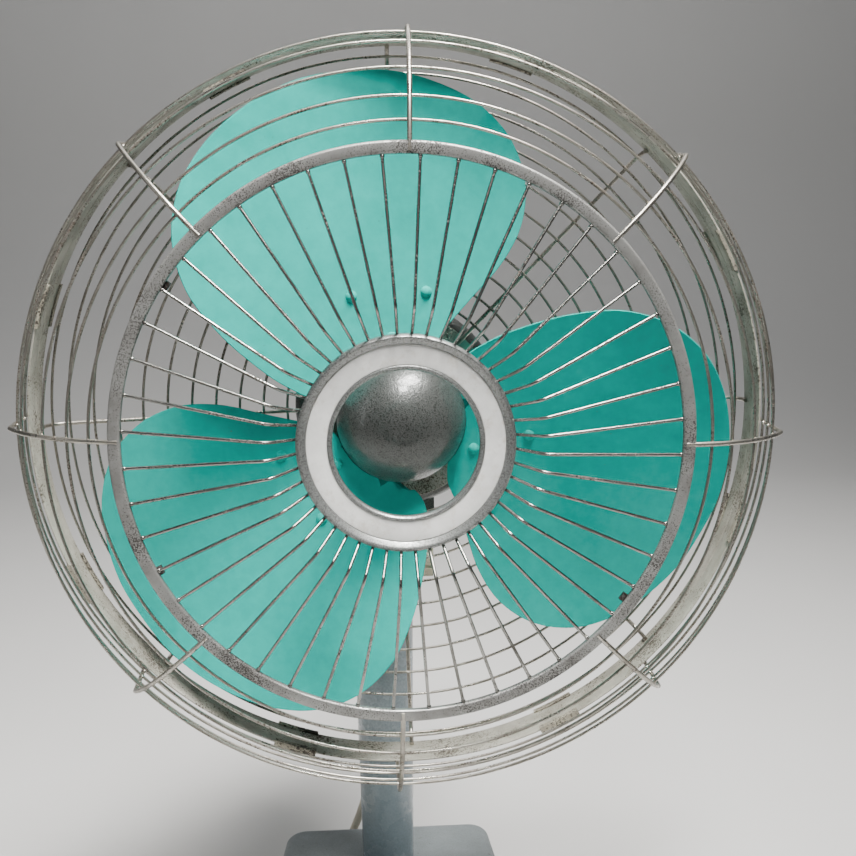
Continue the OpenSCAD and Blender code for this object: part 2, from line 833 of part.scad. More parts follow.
module front_guard_ribs() {
  color(steel) on_axis() for (a = [0 : 360 / rib_count : 359]) clock(a + front_rib_turn)
    radial_wire(rib_start, rib_head,
                [[0, rib_arc, rib_knee - rib_head], [0, rib_knee_r, rib_side - rib_knee],
                 [side_length, 0, 0]], rib_r, false);
}

module front_guard_wires() {
  color(steel) on_axis() {
    for (h = front_wire_headings) wire_ring(wire_under(h)[0], wire_under(h)[1], wire_r);
    for (s = side_wire_places) wire_ring(side_wire(s)[0], side_wire(s)[1], wire_r);
  }
}

flat_ring_depth = 3.8;
flat_ring_t = 3.4;

module flat_ring() {
  color(corroded) on_axis() translate([0, 0, flat_ring_depth]) rotate_extrude() {
    translate([flat_ring_r - flat_ring_w, 1]) square([flat_ring_w, flat_ring_t - 1]);
    translate([flat_ring_r - flat_ring_w + 1, 0]) square([flat_ring_w - 2, 1]);
    for (r = [flat_ring_r - flat_ring_w + 1, flat_ring_r - 1])
      translate([r, 1]) circle(r = 1, $fn = 32);
  }
}

kink_r = 67;
spoke_in = [badge_r - 2.4, 5.6];
spoke_out = [flat_ring_r - flat_ring_w - 0.4, flat_ring_depth + 1.7];
spoke_bend = 7;
spoke_wire_r = 0.85;

module front_spokes() {
  kink = [kink_r, kink_depth];
  down = atan2(kink[1] - spoke_in[1], kink[0] - spoke_in[0]);
  up = atan2(spoke_out[1] - kink[1], spoke_out[0] - kink[0]);
  cut = spoke_bend * tan((up - down) / 2);
  color(bright_wire) on_axis() for (i = [0 : spoke_count - 1])
    clock((i + 0.5) * 360 / spoke_count) {
      radial_wire(spoke_in, down,
                  [[norm(kink - spoke_in) - cut, spoke_bend, up - down],
                   [norm(spoke_out - kink) - cut, 0, 0]], spoke_wire_r);
      translate([spoke_out[0] - 0.9, 0, spoke_out[1]]) sphere(r = 1.4, $fn = 24);
    }
}

badge_hole_r = 36.3;
inlay_r = 49.1;
badge_t = 9;

module badge_ring() {
  color([0.55, 0.56, 0.55]) on_axis() rotate_extrude() difference() {
    polygon([[badge_hole_r, 3.4], [badge_hole_r + 1.3, 1.8], [badge_hole_r + 2.4, 2.4],
             [badge_hole_r + 2.4, 4.5], [inlay_r + 0.2, 4.5], [inlay_r + 0.2, 2],
             [inlay_r + 2.4, 0.5], [inlay_r + 3.5, 0], [badge_r - 0.6, 0.7], [badge_r, 2],
             [badge_r, badge_t], [badge_r - 1.2, badge_t], [badge_r - 1.2, 6.2],
             [badge_hole_r, 6.2]]);
    translate([0, -1]) square([1, 1]);
  }
}

module badge_inlay() {
  color([0.93, 0.92, 0.90]) on_axis() translate([0, 0, 2.9]) {
    tube(inlay_r, badge_hole_r + 2.45, 1.55);
  }
}

clip_arc = 7;
module guard_clips() {
  color(steel) on_axis() for (a = [18.7 : 45 : 340]) clock(a) rotate([0, 0, -clip_arc / 2])
    rotate_extrude(angle = clip_arc) polygon([
      [hoop_r - hoop_wall - 1.1, front_hoop_depth - 1.2], [hoop_r + 1.2, front_hoop_depth - 1.2],
      [hoop_r + 1.2, rear_hoop_depth + hoop_width + 1.2],
      [hoop_r - hoop_wall - 1.1, rear_hoop_depth + hoop_width + 1.2],
      [hoop_r - hoop_wall - 1.1, rear_hoop_depth + hoop_width - 2.5],
      [hoop_r - hoop_wall - 0.05, rear_hoop_depth + hoop_width - 2.5],
      [hoop_r - hoop_wall - 0.05, rear_hoop_depth + hoop_width + 0.1],
      [hoop_r + 0.05, rear_hoop_depth + hoop_width + 0.1],
      [hoop_r + 0.05, front_hoop_depth - 0.1],
      [hoop_r - hoop_wall - 0.05, front_hoop_depth - 0.1],
      [hoop_r - hoop_wall - 0.05, front_hoop_depth + 2.5],
      [hoop_r - hoop_wall - 1.1, front_hoop_depth + 2.5]]);
}

// ---------------------------------------------------------------- mains lead

lead_exit = [-25.7, 76.7, gland_z];
lead_route = [
  lead_exit, [-26.4, 82.5, 97.4], [-26.9, 88, 94.2], [-27.1, 92, 87.5], [-27.2, 94.6, 78.5],
  [-27.4, 96.1, 67.5], [-28.4, 97, 56.5], [-31.6, 97.5, 46], [-36, 98.3, 34],
  [-41, 99.8, 22], [-47, 101.6, 11.9], [-54.6, 103, 5.8], [-64, 103.5, 3.2],
  [-75, 101.5, 3.1], [-86, 97, 3.1], [-95.5, 89.5, 3.1], [-103, 80, 3.1],
  [-108, 68.5, 3.1], [-110.3, 56, 3.1], [-110.5, 44, 3.1], [-110.5, 32, 3.1],
  [-110.5, 23, 3.1]
];
coil_centre = [-156, 20];
coil_in = 22;
coil_out = 48.6;
coil_high = 12.6;
plug_start = [-193, -46];

gland_reach = norm([lead_exit[0] - column_x, lead_exit[1] - column_y]);

module cord_gland() {
  color(ivory) translate([column_x, column_y, gland_z]) rotate([0, 0, gland_turn])
    rotate([-90, 0, 0]) difference() {
      union() {
        translate([0, 0, 15]) cylinder(r = 3.9, h = 6);
        translate([0, 0, 18.4]) cylinder(r = 6.5, h = 3);
        translate([0, 0, 21.3]) cylinder(r1 = 5, r2 = 3.6, h = gland_reach - 21.3);
      }
      translate([0, 0, 10]) cylinder(r = 2, h = 12);
    }
}

function lerp_route(p, per) = [
  for (i = [0 : len(p) - 2]) for (k = [0 : per - 1])
    spline_point(p[max(i - 1, 0)], p[i], p[i + 1], p[min(i + 2, len(p) - 1)], k / per),
  p[len(p) - 1]
];
function unit(v) = v / norm(v);
function tangent(p, i) = unit(p[min(i + 1, len(p) - 1)] - p[max(i - 1, 0)]);
// A ring's two directions across a tangent, kept level where it can be
function across(t) = abs(t[2]) > 0.95
  ? unit(cross(t, [0, 1, 0])) : unit(cross(t, [0, 0, 1]));

cord_sides = 10;
module cord_tube(route) {
  p = lerp_route(route, 2);
  n = len(p);
  rings = [
    for (i = [0 : n - 1]) let (t = tangent(p, i), u = unit(cross(t, [0.6, -0.8, 0.05])),
      v = cross(t, u))
      for (k = [0 : cord_sides - 1])
        p[i] + cord_d / 2 * (cos(k * 360 / cord_sides) * u + sin(k * 360 / cord_sides) * v)
  ];
  polyhedron(
    points = concat(rings, [p[0], p[n - 1]]),
    faces = concat(
      [for (i = [0 : n - 2]) for (k = [0 : cord_sides - 1])
        let (a = i * cord_sides + k, b = i * cord_sides + (k + 1) % cord_sides)
        [a, b, b + cord_sides, a + cord_sides]],
      [for (k = [0 : cord_sides - 1]) [(k + 1) % cord_sides, k, n * cord_sides]],
      [for (k = [0 : cord_sides - 1])
        [(n - 1) * cord_sides + k, (n - 1) * cord_sides + (k + 1) % cord_sides,
         n * cord_sides + 1]])
  );
}

module cord_lead() {
  color(ivory) cord_tube(lead_route);
}

module cord_coil() {
  color(ivory) translate([coil_centre[0], coil_centre[1], 0]) rotate_extrude()
    translate([coil_in, 0]) square([coil_out - coil_in, coil_high]);
}

module cord_plug() {
  color(ivory) translate([plug_start[0], plug_start[1], 0]) {
    translate([0, -24, 5]) rotate([-90, 0, 0]) cylinder(r1 = 4.6, r2 = 3.4, h = 18);
    translate([-11, -50, 0]) cube([22, 26.5, 13]);
    for (x = [-6.35, 6.35]) translate([x - 0.75, -68, 3.5]) cube([1.5, 18.5, 6]);
  }
}

base_shell();
base_plate();
base_feet();
base_screws();
ballast();
switch_block();
button_bezel();
button_off();
button_low();
button_medium();
button_high();
column_foot();
column();
neck_socket();
tilt_pin();
tilt_knob();
tilt_yoke();
pivot_post();
thrust_washer();
oscillation_link();
swivel_bracket();
motor_front_shell();
motor_rear_cover();
stator_core();
stator_windings();
front_bearing();
rear_bearing();
rear_bearing_bracket();
gear_case();
gear_case_lid();
worm_wheel();
crank_gear();
oscillation_knob();
motor_shaft();
rotor_core();
blade_spider();
spider_set_screw();
hub_dome();
blade_1();
blade_2();
blade_3();
blade_rivets();
rear_guard_mount();
rear_guard_screws();
rear_guard_ribs();
rear_guard_wires();
rear_hoop();
front_hoop();
front_guard_ribs();
front_guard_wires();
flat_ring();
front_spokes();
badge_ring();
badge_inlay();
guard_clips();
cord_gland();
cord_lead();
cord_coil();
cord_plug();
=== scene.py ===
import math
import bmesh
import bpy
from mathutils import Matrix, Vector


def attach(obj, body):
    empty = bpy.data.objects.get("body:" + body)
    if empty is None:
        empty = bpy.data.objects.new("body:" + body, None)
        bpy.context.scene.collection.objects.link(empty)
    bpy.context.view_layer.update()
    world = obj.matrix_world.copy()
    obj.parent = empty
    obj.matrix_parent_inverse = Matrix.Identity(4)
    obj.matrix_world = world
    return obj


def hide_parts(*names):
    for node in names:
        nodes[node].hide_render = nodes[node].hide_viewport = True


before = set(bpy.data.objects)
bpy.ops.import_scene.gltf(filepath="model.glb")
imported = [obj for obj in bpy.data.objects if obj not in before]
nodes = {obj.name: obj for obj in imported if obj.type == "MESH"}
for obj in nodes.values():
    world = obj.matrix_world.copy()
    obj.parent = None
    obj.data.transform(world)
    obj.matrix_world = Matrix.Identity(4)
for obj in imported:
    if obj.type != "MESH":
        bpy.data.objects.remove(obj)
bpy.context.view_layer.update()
SC = bpy.context.scene

# ------------------------------------------------------------------ shared frame
AX = 0.365          # height of the fan shaft
MID = 0.1329        # depth of the frame's middle plane behind the badge face
COL = Vector((-0.012, 0.0391, 0.0))     # the column's axis on the floor
MM = 0.001


def P(r, clock, d):
    """Radius, clock angle and depth (mm, degrees, mm) to a point in the frame."""
    a = math.radians(clock)
    return Vector((r * MM * math.sin(a), d * MM - MID, AX + r * MM * math.cos(a)))


# ------------------------------------------------------------------ camera
CAMERA_TURN = (3.10, 9.155, -0.81)      # yaw, pitch and roll in degrees
CAMERA_AT = (-0.0165, -0.4987 - MID, AX + 0.0887)
LENS_MM, SENSOR_MM = 43.85, 36.0


def make_camera():
    yaw, pitch, roll = map(math.radians, CAMERA_TURN)
    fwd = Vector((math.sin(yaw) * math.cos(pitch), math.cos(yaw) * math.cos(pitch), -math.sin(pitch)))
    right = Vector((math.cos(yaw), -math.sin(yaw), 0))
    up = right.cross(fwd)
    r2 = math.cos(roll) * right + math.sin(roll) * up
    u2 = -math.sin(roll) * right + math.cos(roll) * up
    data = bpy.data.cameras.new("camera")
    data.lens, data.sensor_width, data.sensor_fit = LENS_MM, SENSOR_MM, "HORIZONTAL"
    data.clip_start, data.clip_end = 0.01, 50
    cam = bpy.data.objects.new("camera", data)
    m = Matrix((r2, u2, -fwd)).transposed().to_4x4()
    m.translation = Vector(CAMERA_AT)
    cam.matrix_world = m
    SC.collection.objects.link(cam)
    SC.camera = cam


make_camera()


# ------------------------------------------------------------------ mesh helpers
def link(name, data):
    ob = bpy.data.objects.new(name, data)
    SC.collection.objects.link(ob)
    return ob


def mesh_object(name, verts, faces):
    me = bpy.data.meshes.new(name)
    me.from_pydata([tuple(v) for v in verts], [], faces)
    me.update()
    return link(name, me)


def smooth(ob, angle=35):
    """Smooth shading that breaks at edges sharper than angle."""
    me = ob.data
    bm = bmesh.new()
    bm.from_mesh(me)
    lim = math.radians(angle)
    for f in bm.faces:
        f.smooth = True
    for e in bm.edges:
        e.smooth = len(e.link_faces) == 2 and e.calc_face_angle(0) < lim
    bm.to_mesh(me)
    bm.free()
    return ob


def recalc(ob, dist=1e-7):
    """Welds points closer than dist and turns the faces outwards."""
    bm = bmesh.new()
    bm.from_mesh(ob.data)
    bmesh.ops.remove_doubles(bm, verts=bm.verts, dist=dist)
    bmesh.ops.recalc_face_normals(bm, faces=bm.faces)
    bm.to_mesh(ob.data)
    bm.free()
    return ob


def bevel(ob, width, segments=2, angle=35):
    m = ob.modifiers.new("edges", "BEVEL")
    m.width, m.segments, m.limit_method = width * MM, segments, "ANGLE"
    m.angle_limit = math.radians(angle)
    m.harden_normals = False
    return ob


def rounded(profile, radii, seg=5):
    """A closed 2D outline with each corner rounded by its radius."""
    out = []
    n = len(profile)
    for i, (p, r) in enumerate(zip(profile, radii)):
        p = Vector(p)
        a, b = Vector(profile[i - 1]), Vector(profile[(i + 1) % n])
        u, v = (a - p).normalized(), (b - p).normalized()
        ang = u.angle(v)
        if r <= 0 or ang > math.pi - 0.02:
            out.append(p)
            continue
        t = min(r / math.tan(ang / 2), (a - p).length * 0.49, (b - p).length * 0.49)
        r2 = t * math.tan(ang / 2)
        c = p + (u + v).normalized() * (r2 / math.sin(ang / 2))
        s, e = p + u * t - c, p + v * t - c
        sweep = s.angle_signed(e) if s.length and e.length else 0
        for k in range(seg + 1):
            q = s.copy()
            q.rotate(Matrix.Rotation(-sweep * k / seg, 2))
            out.append(c + q)
    return out


def lathe(name, profile, segs=192, start=0.0, sweep=360.0):
    """Turns a closed (radius, depth) outline in mm about the fan shaft."""
    full = sweep >= 359.9
    n, m = len(profile), segs if full else segs + 1
    verts, faces = [], []
    for i in range(m):
        a = start + sweep * i / segs
        verts += [P(r, a, d) for r, d in profile]
    for i in range(segs):
        j = (i + 1) % m
        for k in range(n):
            l = (k + 1) % n
            faces.append((i * n + k, i * n + l, j * n + l, j * n + k))
    if not full:
        faces.append(tuple(range(n)))
        faces.append(tuple(range((m - 1) * n, m * n))[::-1])
    return recalc(mesh_object(name, verts, faces), 1e-6)


def curve_object(name, paths, radius, cyclic=False, res=5, radii=None):
    cu = bpy.data.curves.new(name, "CURVE")
    cu.dimensions = "3D"
    cu.bevel_depth = 1.0  # each point's radius carries the real size, so the bounds are true
    cu.bevel_resolution = res
    cu.use_fill_caps = True
    cu.twist_mode = "MINIMUM"
    for k, path in enumerate(paths):
        sp = cu.splines.new("POLY")
        sp.points.add(len(path) - 1)
        for i, p in enumerate(path):
            sp.points[i].co = (*p, 1)
            sp.points[i].radius = radius * MM * (radii[k][i] if radii else 1.0)
        sp.use_cyclic_u = cyclic
        sp.use_smooth = True
    return link(name, cu)


def fillet(points, bends, seg=8):
    """A 2D line with rounded corners."""
    out = [Vector(points[0])]
    for i in range(1, len(points) - 1):
        p, a, b = (Vector(points[j]) for j in (i, i - 1, i + 1))
        u, v = (a - p).normalized(), (b - p).normalized()
        t = bends[i - 1] / math.tan(u.angle(v) / 2)
        s, e = p + u * t, p + v * t
        for k in range(seg + 1):
            w = k / seg
            out.append(s * (1 - w) ** 2 + p * 2 * w * (1 - w) + e * w * w)
    out.append(Vector(points[-1]))
    return out


def catmull(points, per, closed=False):
    pts = [Vector(p) for p in points]
    n, out = len(pts), []
    for i in range(n if closed else n - 1):
        if closed:
            a, b, c, d = (pts[(i + k) % n] for k in (-1, 0, 1, 2))
        else:
            a, b, c, d = pts[max(i - 1, 0)], pts[i], pts[i + 1], pts[min(i + 2, n - 1)]
        for k in range(per):
            t = k / per
            out.append(0.5 * (2 * b + (c - a) * t + (2 * a - 5 * b + 4 * c - d) * t * t
                              + (3 * b - a - 3 * c + d) * t ** 3))
    if not closed:
        out.append(pts[-1])
    return out


def place(ob, body, slot, mat, *replaced):
    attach(ob, body)
    if replaced:
        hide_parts(*replaced)
    ob.data.materials.clear()
    ob.data.materials.append(mat)
    return ob


def join(name, obs):
    bm = bmesh.new()
    for ob in obs:
        bm.from_mesh(ob.data)
        bpy.data.objects.remove(ob)
    me = bpy.data.meshes.new(name)
    bm.to_mesh(me)
    bm.free()
    return link(name, me)


def wobble(i, k):
    """A small repeatable offset between -1 and 1 for hand-made unevenness."""
    return math.sin(i * 12.9898 + k * 78.233) * 0.6 + math.sin(i * 4.1 + k * 1.7) * 0.4


# ------------------------------------------------------------------ materials
class Mat:
    def __init__(self, name, base=(0.5, 0.5, 0.5), rough=0.5, metal=0.0, coat=0.0, coat_rough=0.1, spec=0.5):
        self.m = bpy.data.materials.new(name)
        self.m.use_nodes = True
        self.t = self.m.node_tree
        self.b = self.t.nodes["Principled BSDF"]
        self.set("Base Color", (*base, 1))
        self.set("Roughness", rough)
        self.set("Metallic", metal)
        self.set("Coat Weight", coat)
        self.set("Coat Roughness", coat_rough)
        self.set("Specular IOR Level", spec)
        self.co = self.t.nodes.new("ShaderNodeTexCoord").outputs["Object"]

    def set(self, key, v):
        self.b.inputs[key].default_value = v

    def wire(self, a, b):
        if isinstance(a, bpy.types.NodeSocket):
            self.t.links.new(a, b)
        else:
            b.default_value = a

    def mapped(self, scale=(1, 1, 1), rot=(0, 0, 0), loc=(0, 0, 0)):
        n = self.t.nodes.new("ShaderNodeMapping")
        n.inputs["Scale"].default_value = scale
        n.inputs["Rotation"].default_value = rot
        n.inputs["Location"].default_value = loc
        self.t.links.new(self.co, n.inputs["Vector"])
        return n.outputs["Vector"]

    def noise(self, scale, detail=3.0, rough=0.55, warp=0.0, co=None):
        n = self.t.nodes.new("ShaderNodeTexNoise")
        n.inputs["Scale"].default_value = scale
        n.inputs["Detail"].default_value = detail
        n.inputs["Roughness"].default_value = rough
        n.inputs["Distortion"].default_value = warp
        self.t.links.new(co or self.co, n.inputs["Vector"])
        return n.outputs["Fac"]

    def voronoi(self, scale, feature="F1", smooth=None, co=None, rand=1.0):
        n = self.t.nodes.new("ShaderNodeTexVoronoi")
        n.feature = feature
        n.inputs["Scale"].default_value = scale
        n.inputs["Randomness"].default_value = rand
        if smooth is not None and "Smoothness" in n.inputs:
            n.inputs["Smoothness"].default_value = smooth
        self.t.links.new(co or self.co, n.inputs["Vector"])
        return n.outputs["Distance"]

    def ramp(self, fac, stops, mode="LINEAR"):
        n = self.t.nodes.new("ShaderNodeValToRGB")
        n.color_ramp.interpolation = mode
        el = n.color_ramp.elements
        while len(el) < len(stops):
            el.new(0.5)
        for e, (pos, v) in zip(el, stops):
            e.position = pos
            e.color = (*v, 1) if isinstance(v, tuple) else (v, v, v, 1)
        self.t.links.new(fac, n.inputs["Fac"])
        return n.outputs["Color"]

    def mix(self, fac, a, b, mode="MIX"):
        n = self.t.nodes.new("ShaderNodeMix")
        n.data_type, n.blend_type = "RGBA", mode
        self.wire(fac, n.inputs[0])
        for v, s in ((a, n.inputs[6]), (b, n.inputs[7])):
            self.wire((*v, 1) if isinstance(v, tuple) else v, s)
        return n.outputs[2]

    def math(self, op, a, b=0.0):
        n = self.t.nodes.new("ShaderNodeMath")
        n.operation = op
        self.wire(a, n.inputs[0])
        self.wire(b, n.inputs[1])
        return n.outputs[0]

    def axis(self, k):
        n = self.t.nodes.new("ShaderNodeSeparateXYZ")
        self.t.links.new(self.co, n.inputs[0])
        return n.outputs[k]

    def color(self, c):
        self.t.links.new(c, self.b.inputs["Base Color"])
        return self

    def rough(self, r):
        self.t.links.new(r, self.b.inputs["Roughness"])
        return self

    def metal(self, r):
        self.t.links.new(r, self.b.inputs["Metallic"])
        return self

    def bump(self, height, dist_mm, strength=1.0):
        n = self.t.nodes.new("ShaderNodeBump")
        n.inputs["Strength"].default_value = strength
        n.inputs["Distance"].default_value = dist_mm * MM
        self.t.links.new(height, n.inputs["Height"])
        last = self.b.inputs["Normal"]
        if last.is_linked:
            self.t.links.new(last.links[0].from_socket, n.inputs["Normal"])
        self.t.links.new(n.outputs["Normal"], last)
        return self


def enamel(name, base, dark, light, rough=0.26, coat=0.25):
    """Old gloss enamel: cloudy dulling, fine orange peel, dust specks and small chips."""
    m = Mat(name, base, rough, 0.0, coat, 0.12, 0.03)
    cloud = m.ramp(m.noise(14, 4, 0.6), [(0.3, dark), (0.52, base), (0.75, light)])
    fine = m.ramp(m.noise(160, 3, 0.6), [(0.35, 0.93), (0.65, 1.04)])
    col = m.mix(1.0, cloud, fine, "MULTIPLY")
    specks = m.ramp(m.noise(620, 2, 0.5), [(0.70, 0.0), (0.745, 1.0)])
    where = m.ramp(m.noise(38, 3, 0.6), [(0.52, 0.0), (0.66, 0.7)])
    m.color(m.mix(m.math("MULTIPLY", specks, where), col, (0.10, 0.16, 0.13)))
    m.rough(m.ramp(m.noise(22, 4, 0.65), [(0.3, rough - 0.06), (0.7, rough + 0.20)]))
    m.bump(m.noise(420, 2, 0.5), 0.02, 0.35)
    m.bump(m.noise(9, 2, 0.5), 0.6, 0.12)
    return m.m


def hammer(name, dark, light, cell=520.0, metal=0.75, rough=0.26, deep=0.10):
    """Hammertone paint: soft dimples with darker lacquer pooled between them."""
    m = Mat(name, light, rough, metal, 0.5, 0.08)
    warp = m.noise(90, 2, 0.5)
    v = m.voronoi(cell, "SMOOTH_F1", 0.35)
    n = m.noise(cell * 0.55, 2, 0.5, 0.6)
    h = m.math("ADD", m.math("MULTIPLY", v, 0.7), m.math("MULTIPLY", n, 0.6))
    m.color(m.mix(m.ramp(h, [(0.45, 0.0), (0.85, 1.0)]), light, dark))
    m.rough(m.ramp(h, [(0.4, rough - 0.05), (0.9, rough + 0.2)]))
    m.bump(h, deep, 0.7)
    m.bump(warp, 0.1, 0.12)
    return m.m


def worn_metal(name, bright, dull, rust, rust_at=0.62, rough=0.22, pit=0.06, metal=1.0, fine=480):
    """Plated steel: bright where it is whole, clouded, with brown-black pitting."""
    m = Mat(name, bright, rough, metal)
    cloud = m.noise(55, 4, 0.6)
    base = m.mix(m.ramp(cloud, [(0.38, 0.0), (0.66, 1.0)]), bright, dull)
    spots = m.noise(fine, 4, 0.7)
    area = m.noise(34, 3, 0.6)
    mask = m.ramp(m.math("ADD", m.math("MULTIPLY", spots, 0.62), m.math("MULTIPLY", area, 0.38)),
                  [(rust_at - 0.06, 0.0), (rust_at, 1.0)])
    m.color(m.mix(mask, base, rust))
    m.rough(m.mix(mask, m.ramp(cloud, [(0.35, rough), (0.7, rough + 0.2)]), (0.75, 0.75, 0.75)))
    m.metal(m.mix(mask, (metal, metal, metal), (0.25, 0.25, 0.25)))
    m.bump(m.mix(mask, m.noise(260, 3, 0.6), (0.0, 0.0, 0.0)), pit, 0.6)
    return m.m


def satin_paint(name, base, rough, grain=900.0, dust=0.25, coat=0.0, streak=None, cloud=1.0,
                speck=(0.55, 0.55, 0.52)):
    """Sprayed satin paint with a fine grain, settled dust and rubbed patches."""
    m = Mat(name, base, rough, 0.0, coat, 0.2)
    dark = tuple(c * (1 - 0.28 * cloud) for c in base)
    light = tuple(min(1, c * (1 + 0.37 * cloud)) for c in base)
    c = m.ramp(m.noise(26, 5, 0.65), [(0.3, dark), (0.5, base), (0.74, light)])
    if streak:
        s = m.noise(60, 3, 0.6, co=m.mapped(streak))
        c = m.mix(0.35, c, m.ramp(s, [(0.3, dark), (0.7, light)]))
    grit = m.ramp(m.noise(grain, 2, 0.5), [(0.3, 0.88), (0.7, 1.10)])
    c = m.mix(1.0, c, grit, "MULTIPLY")
    spots = m.ramp(m.noise(300, 4, 0.7), [(0.64, 0.0), (0.72, dust)])
    m.color(m.mix(spots, c, speck))
    m.rough(m.ramp(m.noise(40, 4, 0.6), [(0.3, rough - 0.08), (0.7, rough + 0.14)]))
    m.bump(m.noise(grain, 2, 0.5), 0.03, 0.5)
    return m.m


def machined(name, base, rough=0.3, metal=1.0, scale=(1, 1, 1)):
    m = Mat(name, base, rough, metal)
    s = m.noise(500, 3, 0.6, co=m.mapped(scale))
    m.color(m.mix(m.ramp(m.noise(60, 4, 0.6), [(0.35, 0.0), (0.7, 0.6)]), base, tuple(c * 0.55 for c in base)))
    m.rough(m.ramp(s, [(0.3, rough - 0.08), (0.7, rough + 0.15)]))
    m.bump(s, 0.01, 0.4)
    return m.m


def moulded(name, base, rough=0.35, grain=1400.0, depth=0.02, yellow=None):
    m = Mat(name, base, rough)
    dark, light = tuple(x * 0.82 for x in base), tuple(min(1, x * 1.1) for x in base)
    c = m.ramp(m.noise(45, 4, 0.6), [(0.3, dark), (0.7, light)])
    if yellow:
        c = m.mix(m.ramp(m.noise(120, 4, 0.7), [(0.55, 0.0), (0.75, 0.6)]), c, yellow)
    m.color(c)
    m.rough(m.ramp(m.noise(80, 3, 0.6), [(0.3, rough - 0.06), (0.7, rough + 0.12)]))
    m.bump(m.noise(grain, 2, 0.5), depth, 0.5)
    return m.m


def rough_iron(name, base):
    m = Mat(name, base, 0.6, 0.7)
    m.color(m.ramp(m.noise(120, 5, 0.7), [(0.3, tuple(c * 0.6 for c in base)), (0.7, tuple(c * 1.8 for c in base))]))
    m.bump(m.noise(350, 5, 0.7), 0.25, 0.7)
    return m.m


def laminated(name):
    """Stacked motor steel: thin sheets square to the shaft."""
    m = Mat(name, (0.20, 0.20, 0.21), 0.4, 0.9)
    n = m.t.nodes.new("ShaderNodeTexWave")
    n.wave_type, n.bands_direction = "BANDS", "Y"
    n.inputs["Scale"].default_value = 320
    n.inputs["Distortion"].default_value = 0.3
    m.t.links.new(m.co, n.inputs["Vector"])
    m.color(m.ramp(n.outputs["Fac"], [(0.1, (0.06, 0.06, 0.065)), (0.6, (0.26, 0.26, 0.27))]))
    m.bump(n.outputs["Fac"], 0.08, 0.7)
    return m.m


def winding(name):
    """Enamelled copper wire laid in turns."""
    m = Mat(name, (0.45, 0.16, 0.07), 0.25, 0.8, 0.4)
    n = m.t.nodes.new("ShaderNodeTexWave")
    n.wave_type, n.bands_direction, n.rings_direction = "RINGS", "Y", "Y"
    n.inputs["Scale"].default_value = 160
    n.inputs["Distortion"].default_value = 1.5
    m.t.links.new(m.co, n.inputs["Vector"])
    m.color(m.ramp(n.outputs["Fac"], [(0.1, (0.16, 0.05, 0.02)), (0.7, (0.55, 0.22, 0.10))]))
    m.bump(n.outputs["Fac"], 0.2, 0.8)
    return m.m


TEAL = enamel("teal_enamel", (0.006, 0.405, 0.345), (0.004, 0.345, 0.292), (0.010, 0.465, 0.400), 0.36, 0.0)
HAMMER = hammer("dark_hammertone", (0.026, 0.028, 0.026), (0.108, 0.114, 0.108), 1400, 0.35, 0.27, 0.20)
SILVER = hammer("silver_hammertone", (0.14, 0.145, 0.14), (0.34, 0.35, 0.34), 1400, 0.7, 0.30, 0.07)
CHROME = worn_metal("guard_plating", (0.50, 0.475, 0.42), (0.27, 0.25, 0.215),
                    (0.075, 0.055, 0.040), 0.60, 0.24, 0.04, 1.0, 950)
SPOKE = worn_metal("spoke_plating", (0.36, 0.355, 0.335), (0.17, 0.165, 0.15),
                   (0.060, 0.046, 0.035), 0.61, 0.15, 0.03, 1.0, 1000)
PITTED = worn_metal("pitted_ring", (0.36, 0.36, 0.345), (0.22, 0.215, 0.205),
                    (0.050, 0.046, 0.042), 0.565, 0.34, 0.08, 0.7, 1300)
HOOP = worn_metal("hoop_coating", (0.42, 0.405, 0.345), (0.27, 0.26, 0.215),
                  (0.070, 0.056, 0.040), 0.595, 0.45, 0.08, 0.15, 800)
CLIP = worn_metal("clip_coating", (0.40, 0.37, 0.29), (0.22, 0.20, 0.16),
                  (0.045, 0.036, 0.028), 0.54, 0.5, 0.12, 0.2, 900)
TAB = worn_metal("dark_tab", (0.16, 0.15, 0.14), (0.09, 0.085, 0.08),
                 (0.030, 0.022, 0.018), 0.52, 0.45, 0.12, 0.7, 700)
COLUMN = satin_paint("column_paint", (0.185, 0.236, 0.262), 0.22, 700, 0.06, 0.5, (1, 1, 0.12), 0.2)
BASE = satin_paint("base_paint", (0.165, 0.185, 0.190), 0.55, 950, 0.75, cloud=0.6, speck=(0.040, 0.044, 0.044))
STEEL = machined("machined_steel", (0.55, 0.54, 0.52), 0.28)
ZINC = machined("zinc_sheet", (0.42, 0.41, 0.38), 0.38)
BRONZE = machined("sintered_bronze", (0.42, 0.27, 0.12), 0.4)
IRON = rough_iron("cast_iron", (0.045, 0.045, 0.047))
LAMINATED = laminated("motor_laminations")
COPPER = winding("copper_winding")
BLACK = moulded("black_phenolic", (0.022, 0.022, 0.022), 0.34)
RED = moulded("red_key", (0.40, 0.035, 0.02), 0.3)
IVORY = moulded("ivory_key", (0.62, 0.56, 0.42), 0.32, yellow=(0.45, 0.36, 0.20))
PEARL = moulded("pearl_plate", (0.90, 0.90, 0.87), 0.28, 900, 0.02, yellow=(0.55, 0.50, 0.40))
CORD = moulded("ivory_jacket", (0.62, 0.57, 0.46), 0.42, 1100, 0.03, yellow=(0.36, 0.30, 0.20))
RUBBER = moulded("black_rubber", (0.022, 0.022, 0.022), 0.7, 700, 0.05)

